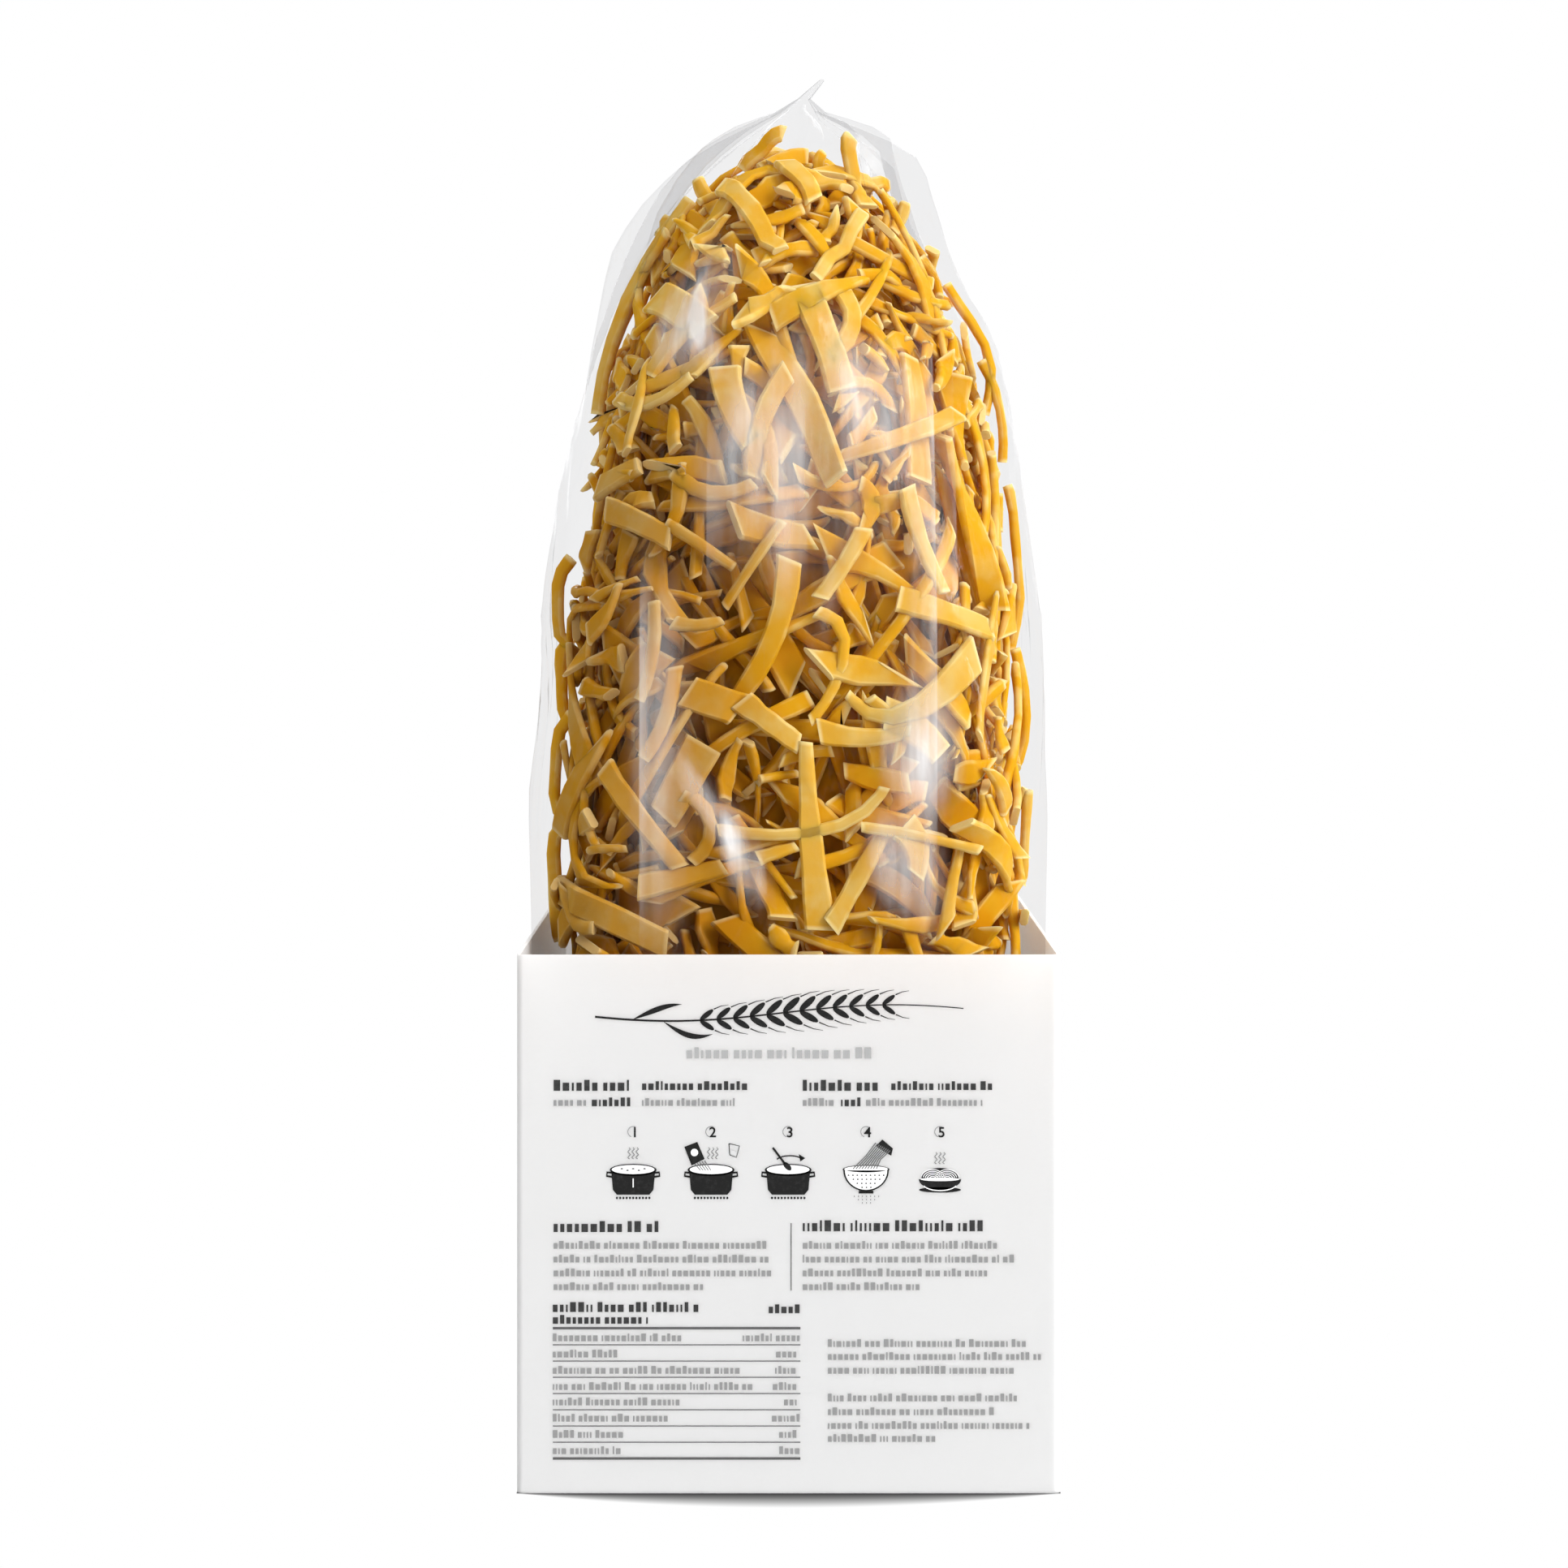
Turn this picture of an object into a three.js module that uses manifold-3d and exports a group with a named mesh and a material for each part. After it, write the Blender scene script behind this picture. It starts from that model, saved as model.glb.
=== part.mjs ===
// Pack of cut egg noodles: a clear film bag, gathered at its top, standing in an open card box.
// Millimetres, +Z up. The origin is the centre of the box's underside and the printed panel faces -Y.
// The film bag is one solid out to its film, which stands for the film and the noodles inside it.
import * as THREE from "three";
import { mergeVertices } from "three/addons/utils/BufferGeometryUtils.js";
import Module from "manifold-3d";

// Card box
const BOX_WIDTH = 95;
const BOX_DEPTH = 95;
const PRINTED_PANEL_HEIGHT = 94; // the panel at -Y
const TALL_PANEL_HEIGHT = 102; // the panel at +Y, to which the side panels' top edges rise
const CARD = 0.6; // thickness of the card
const FOLD_RADIUS = 1.2; // outside radius of the upright folds
const FOLD_STEPS = 4;

// Film bag
const FIT_GAP = 0.3; // between the bag and the card it stands on
const CORNER_IN_BOX = 0.24; // corner radius over half width, where the bag fills the box
const ROUNDING_STARTS = 100; // height at which the square section starts to turn round
const ROUND_FROM = 216; // height from which the section is round
const SEGMENTS = 80; // facets round the bag
const ROWS = 52; // facets up the bag
// Height, half width and sideways lean of the bag. The film runs up straight, bends in over the noodles
// like a pointed arch, and is gathered to a thin tail that leans to +X.
const BAG_PROFILE = [
  { height: 0, half: 43.2, lean: 0 },
  { height: 3.4, half: 45.9, lean: 0 },
  { height: 9, half: 46.2, lean: 0 },
  { height: 60, half: 46.3, lean: 0 },
  { height: 100, half: 46.3, lean: 0 },
  { height: 120, half: 46.9, lean: 0 },
  { height: 140, half: 46.8, lean: 0.9 },
  { height: 158, half: 46.4, lean: 0.3 },
  { height: 176, half: 44.4, lean: 0.6 },
  { height: 192, half: 42.2, lean: 1.2 },
  { height: 206, half: 39.1, lean: 0.8 },
  { height: 218, half: 33.7, lean: -0.6 },
  { height: 229, half: 28.3, lean: -0.7 },
  { height: 238, half: 23.3, lean: 0.2 },
  { height: 245, half: 18.2, lean: 2.7 },
  { height: 249.5, half: 10.2, lean: 2.5 },
  { height: 252.6, half: 4.1, lean: 2.4 },
  { height: 255.6, half: 1, lean: 3.2 },
  { height: 259.3, half: 0.5, lean: 6.5 },
];
const BACKWARD_LEAN = 0.4; // of the sideways lean, towards +Y

// Folds of the gathered film
const PLEAT_STARTS = 172; // height at which the pleats fade in
const PLEAT_FULL = 252;
const PLEAT_VALLEY = 0.55; // of a pleat's width, from its ridge to its valley
// How wide each pleat is, in facets and SEGMENTS in all, and its depth as a share of the half width.
const PLEATS = [
  { facets: 6, depth: 0.15 },
  { facets: 4, depth: 0.11 },
  { facets: 7, depth: 0.19 },
  { facets: 5, depth: 0.13 },
  { facets: 4, depth: 0.16 },
  { facets: 8, depth: 0.2 },
  { facets: 5, depth: 0.12 },
  { facets: 6, depth: 0.18 },
  { facets: 4, depth: 0.1 },
  { facets: 7, depth: 0.17 },
  { facets: 5, depth: 0.15 },
  { facets: 6, depth: 0.2 },
  { facets: 4, depth: 0.12 },
  { facets: 9, depth: 0.18 },
];
// Corners that the stiff film makes over the shoulders: where each is, and how far it stands out.
const SHOULDER_CORNERS = [
  { angle: 3.1, height: 227, out: 1.6 },
  { angle: 0, height: 240, out: 1.3 },
  { angle: 0.1, height: 207, out: 0.9 },
  { angle: -2.1, height: 212, out: 1.2 },
  { angle: 1.9, height: 228, out: 1.5 },
  { angle: 0.9, height: 214, out: 1.2 },
];
const CORNER_SPREAD = 0.42; // radians, to each side
const CORNER_REACH = 13; // up and down
const SLACK = 0.45; // largest height of the loose film's slow waves
const SLACK_FADE = 42; // above the box, until the waves are at their full height

const wasm = await Module();
wasm.setup();

const clamp01 = (value) => Math.min(1, Math.max(0, value));
const smooth = (from, to, value) => {
  const share = clamp01((value - from) / (to - from));
  return share * share * (3 - 2 * share);
};

function solidFrom(geometry) {
  const bare = geometry.index ? geometry.toNonIndexed() : geometry;
  const merged = mergeVertices(
    new THREE.BufferGeometry().setAttribute("position", bare.getAttribute("position")),
    1e-4,
  );
  return new wasm.Manifold(
    new wasm.Mesh({
      numProp: 3,
      vertProperties: merged.attributes.position.array,
      triVerts: new Uint32Array(merged.index.array),
    }),
  );
}

function geometryFrom(solid) {
  const { vertProperties, triVerts } = solid.getMesh();
  const geometry = new THREE.BufferGeometry();
  geometry.setAttribute("position", new THREE.BufferAttribute(new Float32Array(vertProperties), 3));
  geometry.setIndex(new THREE.BufferAttribute(new Uint32Array(triVerts), 1));
  geometry.computeVertexNormals();
  return geometry;
}

// A rounded rectangle centred on the axis, extruded from the height `from` to `to`.
function roundedBlock(width, depth, radius, from, to) {
  const x = width / 2;
  const y = depth / 2;
  const outline = new THREE.Shape();
  outline.moveTo(-x + radius, -y);
  outline.lineTo(x - radius, -y);
  outline.absarc(x - radius, -y + radius, radius, -Math.PI / 2, 0);
  outline.absarc(x - radius, y - radius, radius, 0, Math.PI / 2);
  outline.absarc(-x + radius, y - radius, radius, Math.PI / 2, Math.PI);
  outline.absarc(-x + radius, -y + radius, radius, Math.PI, 1.5 * Math.PI);
  const block = new THREE.ExtrudeGeometry(outline, {
    depth: to - from,
    bevelEnabled: false,
    curveSegments: FOLD_STEPS,
  });
  return block.translate(0, 0, from);
}

// The card box: four panels and a base, with the side panels' top edges rising from -Y to +Y.
function cardBox() {
  const blank = solidFrom(roundedBlock(BOX_WIDTH, BOX_DEPTH, FOLD_RADIUS, 0, TALL_PANEL_HEIGHT));
  const hollow = solidFrom(
    roundedBlock(
      BOX_WIDTH - 2 * CARD,
      BOX_DEPTH - 2 * CARD,
      FOLD_RADIUS - CARD,
      CARD,
      TALL_PANEL_HEIGHT + 1,
    ),
  );
  const half = BOX_DEPTH / 2;
  const aboveTheSlope = new THREE.Shape([
    new THREE.Vector2(-half - 1, PRINTED_PANEL_HEIGHT),
    new THREE.Vector2(-half + CARD, PRINTED_PANEL_HEIGHT),
    new THREE.Vector2(half - CARD, TALL_PANEL_HEIGHT),
    new THREE.Vector2(half + 1, TALL_PANEL_HEIGHT),
    new THREE.Vector2(half + 1, TALL_PANEL_HEIGHT + 2),
    new THREE.Vector2(-half - 1, TALL_PANEL_HEIGHT + 2),
  ]);
  const cut = new THREE.ExtrudeGeometry(aboveTheSlope, { depth: BOX_WIDTH + 2, bevelEnabled: false });
  // The shape is drawn with Y as its first axis and Z as its second.
  const turned = new THREE.Matrix4().makeBasis(
    new THREE.Vector3(0, 1, 0),
    new THREE.Vector3(0, 0, 1),
    new THREE.Vector3(1, 0, 0),
  );
  cut.applyMatrix4(turned).translate(-BOX_WIDTH / 2 - 1, 0, 0);
  return geometryFrom(blank.subtract(hollow).subtract(solidFrom(cut)));
}

// Distance from the axis to a square of half width 1 with rounded corners, along an angle.
function roundedSquare(angle, corner) {
  const along = Math.max(Math.abs(Math.cos(angle)), Math.abs(Math.sin(angle)));
  const across = Math.min(Math.abs(Math.cos(angle)), Math.abs(Math.sin(angle)));
  const straight = 1 - corner;
  if (across <= straight * along) return 1 / along;
  const sum = straight * (along + across);
  return sum + Math.sqrt(sum * sum - 2 * straight * straight + corner * corner);
}

// How far each facet line round the bag stands out of the round, as a share of the half width: each
// pleat falls from its ridge to its valley and rises to the next ridge.
function pleatHeights() {
  const heights = [];
  for (const { facets, depth } of PLEATS) {
    const valley = Math.round(facets * PLEAT_VALLEY);
    for (let i = 0; i < facets; i++) {
      const fall = i < valley ? i / valley : (facets - i) / (facets - valley);
      heights.push(depth * (1 - 2 * fall));
    }
  }
  return heights;
}

function shoulderCorners(angle, height) {
  let out = 0;
  for (const corner of SHOULDER_CORNERS) {
    const turn = Math.abs(Math.atan2(Math.sin(angle - corner.angle), Math.cos(angle - corner.angle)));
    const rise = Math.abs(height - corner.height);
    out += corner.out * clamp01(1 - turn / CORNER_SPREAD) * clamp01(1 - rise / CORNER_REACH);
  }
  return out;
}

function slackWaves(angle, height) {
  const loose = smooth(TALL_PANEL_HEIGHT, TALL_PANEL_HEIGHT + SLACK_FADE, height);
  const waves = Math.sin(3 * angle + height / 17) + Math.sin(5 * angle - height / 11 + 1.3);
  return 0.5 * SLACK * loose * (waves - 1);
}

// A lathed arch whose rings are then pushed from round to square, pleated and leaned.
function filmBag() {
  const profile = new THREE.CatmullRomCurve3(
    BAG_PROFILE.map(({ height, half, lean }) => new THREE.Vector3(half, height, lean)),
    false,
    "centripetal",
  );
  const rings = profile.getSpacedPoints(ROWS);
  const bottom = CARD + FIT_GAP;
  const tip = rings[ROWS].y;
  const outline = [new THREE.Vector2(0, 0), ...rings.map((ring) => new THREE.Vector2(ring.x, ring.y))];
  outline.push(new THREE.Vector2(0, tip + 0.3));
  const bag = new THREE.LatheGeometry(outline, SEGMENTS).rotateX(Math.PI / 2);
  const position = bag.getAttribute("position");
  const pleats = pleatHeights();
  const ringsAndEnds = [rings[0], ...rings, rings[ROWS]];
  for (let i = 0; i < position.count; i++) {
    const ring = ringsAndEnds[i % ringsAndEnds.length];
    const column = Math.floor(i / ringsAndEnds.length) % SEGMENTS;
    const angle = (2 * Math.PI * column) / SEGMENTS;
    const height = position.getZ(i);
    const share = Math.hypot(position.getX(i), position.getY(i)) / ring.x; // 0 on the axis, 1 on a ring
    const rounding = smooth(ROUNDING_STARTS, ROUND_FROM, height);
    const corner = THREE.MathUtils.lerp(CORNER_IN_BOX, 1, rounding);
    const pleat = pleats[column] * smooth(PLEAT_STARTS, PLEAT_FULL, height) ** 2;
    const radius =
      ring.x * roundedSquare(angle, corner) * (1 + pleat) +
      shoulderCorners(angle, height) +
      slackWaves(angle, height) * Math.min(1, ring.x / 20);
    position.setXYZ(
      i,
      share * radius * Math.cos(angle) + ring.z,
      share * radius * Math.sin(angle) + BACKWARD_LEAN * ring.z,
      height + bottom,
    );
  }
  return geometryFrom(solidFrom(bag));
}

const card = new THREE.MeshStandardMaterial({ color: 0xeeeeee, roughness: 0.75, metalness: 0 });
const noodlesThroughFilm = new THREE.MeshStandardMaterial({
  color: 0xe0aa48,
  roughness: 0.3,
  metalness: 0,
});

const pack = new THREE.Group();
const box = new THREE.Mesh(cardBox(), card);
box.name = "card_box";
const bag = new THREE.Mesh(filmBag(), noodlesThroughFilm);
bag.name = "film_bag";
pack.add(box, bag);

export default pack;
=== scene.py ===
import math
import random

import bmesh
import bpy
import numpy as np
from mathutils import Matrix, Quaternion, Vector, noise
from mathutils.bvhtree import BVHTree


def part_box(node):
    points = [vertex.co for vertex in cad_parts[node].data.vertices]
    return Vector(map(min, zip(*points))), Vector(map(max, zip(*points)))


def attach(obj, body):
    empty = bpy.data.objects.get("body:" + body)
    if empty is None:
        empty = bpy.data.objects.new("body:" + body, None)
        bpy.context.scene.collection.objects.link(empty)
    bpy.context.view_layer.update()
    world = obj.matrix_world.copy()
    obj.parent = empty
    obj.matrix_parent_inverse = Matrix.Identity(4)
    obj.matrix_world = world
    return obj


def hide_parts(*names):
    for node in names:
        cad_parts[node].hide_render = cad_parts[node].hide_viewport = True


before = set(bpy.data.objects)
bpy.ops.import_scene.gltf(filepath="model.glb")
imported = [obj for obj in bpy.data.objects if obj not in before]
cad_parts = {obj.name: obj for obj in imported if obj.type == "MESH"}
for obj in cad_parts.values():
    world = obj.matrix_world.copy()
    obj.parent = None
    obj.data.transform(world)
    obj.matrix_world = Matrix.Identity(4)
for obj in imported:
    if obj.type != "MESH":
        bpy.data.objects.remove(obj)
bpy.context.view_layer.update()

bl_info = {
    "name": "Noodle Pack",
    "version": (1, 0, 0),
    "blender": (4, 5, 0),
    "location": "View3D > Sidebar > Noodle Pack",
    "description": "Dresses a card box and film bag as a pack of cut egg noodles",
    "category": "Object",
}

BODY = "root"
MM = 0.001

BOX_LOW, BOX_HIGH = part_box("card_box")
BAG_LOW, BAG_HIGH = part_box("film_bag")

# The heap of noodles inside the film: height, half width and sideways lean, in millimetres.
HEAP_PROFILE = [
    (84.0, 42.0, 0.6),
    (100.0, 42.4, 0.8),
    (125.0, 42.6, 0.9),
    (150.0, 42.4, 0.9),
    (165.0, 41.8, 0.8),
    (180.0, 40.3, 0.7),
    (195.0, 38.2, 0.6),
    (210.0, 35.0, 0.6),
    (221.0, 31.0, 0.2),
    (231.0, 25.6, -0.4),
    (238.0, 20.4, -0.2),
    (242.0, 15.6, 0.6),
    (245.0, 10.0, 1.8),
    (247.0, 3.0, 2.3),
]
HEAP_SQUARE_BELOW = 100.0  # the heap's section is a rounded square below this height
HEAP_ROUND_ABOVE = 216.0  # and round above this one
HEAP_CORNER = 0.3  # corner radius over half width, where the section is square
PILE = 11.0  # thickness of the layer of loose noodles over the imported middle

# The camera, in the photograph's frame of 1932 by 1932.
FRAME_SIDE = 1932
FOCAL_PIXELS = 3177.0
EYE = Vector((-0.0008, -0.4975, 0.1238))


# ---------------------------------------------------------------- settings


def colour_setting(name, description, default):
    return bpy.props.FloatVectorProperty(
        name=name, description=description, subtype="COLOR", size=3, min=0, max=1, default=default
    )


def length_setting(name, description, default, least=0.0, precision=5):
    return bpy.props.FloatProperty(
        name=name, description=description, default=default, min=least, unit="LENGTH", precision=precision
    )


def amount_setting(name, description, default, **limits):
    return bpy.props.FloatProperty(name=name, description=description, default=default, min=0, **limits)


class CardSettings(bpy.types.PropertyGroup):
    card_colour: colour_setting("Card", "Colour of the card's outside", (0.98, 0.983, 0.985))
    inner_colour: colour_setting("Inside", "Colour of the card's inside", (0.93, 0.93, 0.93))
    ink_colour: colour_setting("Ink", "Colour of the print", (0.012, 0.012, 0.012))
    ink_lift: length_setting("Ink lift", "How far the print stands out", 0.03 * MM, 0.005 * MM, 6)


class NoodleSettings(bpy.types.PropertyGroup):
    ribbon_width: length_setting("Ribbon width", "Width of the widest noodles", 6.2 * MM, 2 * MM)
    shred_width: length_setting("Shred width", "Width of the narrow noodles", 2.6 * MM, 1 * MM)
    thickness: length_setting("Thickness", "Thickness of the rolled dough", 1.4 * MM, 0.5 * MM)
    # Painted shade: noodles deep in the pile take the first colour, and paler ones lie nearer the outside.
    browned: colour_setting("Depth_shade", "Colour of the noodles deep in the pile", (0.69, 0.3, 0.003))
    dough: colour_setting("Dough", "Colour of a noodle's face", (0.72, 0.365, 0.01))
    pale: colour_setting("Pale", "Colour of the palest faces", (0.73, 0.49, 0.13))
    shaded: colour_setting("Shaded", "Colour of the soft shade on the left", (0.25, 0.07, 0.001))
    cut: colour_setting("Cut edge", "Colour of a noodle's floury cut edge", (0.93, 0.75, 0.36))
    seed: bpy.props.IntProperty(name="Seed", description="Changes how the noodles lie", default=7, min=0)


class FilmSettings(bpy.types.PropertyGroup):
    tint: colour_setting("Tint", "What one layer of the film lets through", (0.93, 0.93, 0.932))
    haze: amount_setting("Haze", "How milky the film is where it is smooth", 0.003, max=1, subtype="FACTOR")
    crinkle: length_setting("Crinkle", "Depth of the film's small creases", 0.7 * MM)


class StageSettings(bpy.types.PropertyGroup):
    key_power: amount_setting("Key light", "Power of the large light on the right", 225.0, unit="POWER")
    back_power: amount_setting("Back light", "Power of the large light behind the pack", 110.0, unit="POWER")
    surround: amount_setting("Surround", "How brightly the white surroundings light the pack", 0.37)
    surround_right: amount_setting("Right", "How much brighter they are on the right", 0.5)
    surround_above: amount_setting("Above", "How much brighter they are above", 0.85)
    shade_reach: length_setting("Shade reach", "How far the shade under the box spreads", 9 * MM, 1 * MM, 4)


# ---------------------------------------------------------------- nodes


class Signal:
    """A node's output that Python's operators can work on."""

    def __init__(self, wiring, socket):
        self.wiring = wiring
        self.socket = socket

    def _do(self, operation, *values):
        return self.wiring.math(operation, *values)

    def __add__(self, other):
        return self._do("ADD", self, other)

    __radd__ = __add__

    def __sub__(self, other):
        return self._do("SUBTRACT", self, other)

    def __rsub__(self, other):
        return self._do("SUBTRACT", other, self)

    def __mul__(self, other):
        return self._do("MULTIPLY", self, other)

    __rmul__ = __mul__

    def __truediv__(self, other):
        return self._do("DIVIDE", self, other)

    def __neg__(self):
        return self._do("MULTIPLY", self, -1.0)

    def __abs__(self):
        return self._do("ABSOLUTE", self)

    def __pow__(self, other):
        return self._do("POWER", self, other)


class Wiring:
    """Adds nodes to a tree and links them."""

    def __init__(self, tree):
        self.tree = tree

    def node(self, kind, settings=None, **inputs):
        """A node of a type, with its settings set first and then its sockets' values or links."""
        node = self.tree.nodes.new(kind)
        for key, value in (settings or {}).items():
            setattr(node, key, value)
        for key, value in inputs.items():
            self.feed(node.inputs[key.replace("_", " ")], value)
        return node

    def feed(self, socket, value):
        if isinstance(value, Signal):
            self.tree.links.new(value.socket, socket)
        elif socket.type == "RGBA" and len(value) == 3:
            socket.default_value = (*value, 1.0)
        else:
            socket.default_value = value

    def out(self, node, name):
        return Signal(self, node.outputs[name])

    def math(self, operation, *values, clamp=False):
        node = self.node("ShaderNodeMath", {"operation": operation, "use_clamp": clamp})
        for socket, value in zip(node.inputs, values):
            self.feed(socket, value)
        return Signal(self, node.outputs[0])

    def axes(self, vector):
        node = self.node("ShaderNodeSeparateXYZ", Vector=vector)
        return [self.out(node, axis) for axis in "XYZ"]

    def noise(self, place, scale, detail=3.0, roughness=0.5):
        node = self.node(
            "ShaderNodeTexNoise", Vector=place, Scale=scale, Detail=detail, Roughness=roughness
        )
        return self.out(node, "Fac")

    def camera_ray(self):
        """1 for what the camera sees, and 0 for the light that falls on the pack."""
        return self.out(self.node("ShaderNodeLightPath"), "Is Camera Ray")


class Paint(Wiring):
    """Builds one material's nodes."""

    def __init__(self, name):
        self.material = bpy.data.materials.new(name)
        self.material.use_nodes = True
        super().__init__(self.material.node_tree)
        self.tree.nodes.clear()

    def mix(self, factor, low, high):
        """The colour `low` where the factor is 0, and `high` where it is 1."""
        node = self.node("ShaderNodeMix", {"data_type": "RGBA"})
        for index, value in ((0, factor), (6, low), (7, high)):
            self.feed(node.inputs[index], value)
        return Signal(self, node.outputs[2])

    def step(self, value, low, high):
        """0 below `low`, 1 above `high` and smooth between them."""
        node = self.node("ShaderNodeMapRange", {"interpolation_type": "SMOOTHSTEP"})
        for name, number in (("Value", value), ("From Min", low), ("From Max", high)):
            self.feed(node.inputs[name], number)
        return self.out(node, "Result")

    def place(self):
        return self.out(self.node("ShaderNodeTexCoord"), "Object")

    def stretched(self, place, scale):
        return self.out(self.node("ShaderNodeMapping", Vector=place, Scale=scale), "Vector")

    def attribute(self, name):
        return self.out(self.node("ShaderNodeAttribute", {"attribute_name": name}), "Fac")

    def bump(self, height, strength, distance):
        node = self.node("ShaderNodeBump", Height=height, Strength=strength, Distance=distance)
        return self.out(node, "Normal")

    def principled(self, **inputs):
        return self.node("ShaderNodeBsdfPrincipled", **inputs)

    def finish(self, shader):
        """The material, with this shader on its surface."""
        output = self.node("ShaderNodeOutputMaterial")
        self.tree.links.new(shader.outputs[0], output.inputs["Surface"])
        return self.material


class Shaping(Wiring):
    """Builds one tree of geometry nodes."""

    def named(self, name, kind="FLOAT"):
        """An attribute by its name."""
        node = self.node("GeometryNodeInputNamedAttribute", {"data_type": kind}, Name=name)
        return self.out(node, "Attribute")

    def store(self, geometry, name, value, kind="FLOAT", domain="POINT"):
        """The geometry with one more attribute."""
        node = self.node(
            "GeometryNodeStoreNamedAttribute",
            {"data_type": kind, "domain": domain},
            Geometry=geometry,
            Name=name,
            Value=value,
        )
        return self.out(node, "Geometry")

    def scaled(self, vector, scale):
        node = self.node("ShaderNodeVectorMath", {"operation": "SCALE"}, Vector=vector, Scale=scale)
        return self.out(node, "Vector")

    def length(self, vector):
        node = self.node("ShaderNodeVectorMath", {"operation": "LENGTH"}, Vector=vector)
        return self.out(node, "Value")

    def total(self, first, *others):
        """The sum of vectors."""
        for other in others:
            node = self.node("ShaderNodeVectorMath", {"operation": "ADD"}, Vector=first)
            self.feed(node.inputs[1], other)
            first = self.out(node, "Vector")
        return first


# ---------------------------------------------------------------- pieces


def new_piece(name, mesh, material, stands_for=()):
    """A finished mesh as a piece of the object, riding on its one body."""
    piece = bpy.data.objects.new(name, mesh)
    bpy.context.scene.collection.objects.link(piece)
    mesh.materials.clear()
    mesh.materials.append(material)
    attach(piece, BODY)
    if stands_for:
        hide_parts(*stands_for)


def mesh_from(name, vertices, faces):
    mesh = bpy.data.meshes.new(name)
    mesh.from_pydata([tuple(v) for v in vertices], [], [tuple(f) for f in faces])
    mesh.update()
    return mesh


def band_faces(rings, columns):
    """The faces between closed rings of points that are numbered ring by ring."""
    faces = []
    for ring in range(rings - 1):
        low, high = ring * columns, (ring + 1) * columns
        for column in range(columns):
            following = (column + 1) % columns
            faces.append((low + column, low + following, high + following, high + column))
    return faces


def smooth_share(low, high, value):
    """0 at `low`, 1 at `high` and smooth between them."""
    share = min(1.0, max(0.0, (value - low) / (high - low)))
    return share * share * (3 - 2 * share)


def rounded_square(angle, corner):
    """Distance along an angle to a square of half width 1 with rounded corners."""
    along = max(abs(math.cos(angle)), abs(math.sin(angle)))
    across = min(abs(math.cos(angle)), abs(math.sin(angle)))
    straight = 1 - corner
    if across <= straight * along:
        return 1 / along
    total = straight * (along + across)
    return total + math.sqrt(total * total - 2 * straight * straight + corner * corner)


# ---------------------------------------------------------------- card box


def card_material(settings):
    """White card with a faint fibre, greyer inside."""
    paint = Paint("white_card")
    place = paint.place()
    x, y, z = paint.axes(place)
    wall = (BOX_HIGH.x - BOX_LOW.x) / 2 - 0.35 * MM
    beyond = paint.math("MAXIMUM", abs(x), abs(y))
    side = paint.step(beyond, wall - 0.1 * MM, wall)
    underside = paint.step(-z, -0.3 * MM, -0.2 * MM)
    outside = paint.math("MAXIMUM", side, underside)
    fibre = paint.noise(paint.stretched(place, (1, 1, 2.5)), 900, 4, 0.6)
    cloud = paint.noise(place, 28, 2, 0.5)
    shade = 0.975 + 0.03 * fibre + 0.02 * cloud
    face = paint.mix(outside, settings.inner_colour, settings.card_colour)
    shader = paint.principled(
        Base_Color=paint.mix(shade, (0, 0, 0), face),
        Roughness=0.55 + 0.12 * fibre,
        Specular_IOR_Level=0.35,
        Normal=paint.bump(fibre, 0.12, 0.05 * MM),
        # Thin card lets some light through, which is what lights its inside.
        Subsurface_Weight=0.8,
        Subsurface_Radius=(1.0, 1.0, 1.0),
        Subsurface_Scale=3 * MM,
    )
    return paint.finish(shader)


class NOODLEPACK_OT_card(bpy.types.Operator):
    """Give the folded card its finish"""

    bl_idname = "noodle_pack.card"
    bl_label = "Card Box"

    def execute(self, context):
        material = card_material(context.scene.noodle_card)
        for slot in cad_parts["card_box"].material_slots:
            slot.material = material
        return {"FINISHED"}


# ---------------------------------------------------------------- print on the card

# Where the photograph's pixels lie on the front panel.
PANEL_MIDDLE, PANEL_FOOT, PANEL_SCALE = 971.5, 1840.0, 7.06

# Heights of the rows of the ruled table, in pixels of the photograph's frame.
TABLE_ROWS = (1649, 1669, 1689, 1709, 1728, 1748, 1768, 1788)

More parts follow.
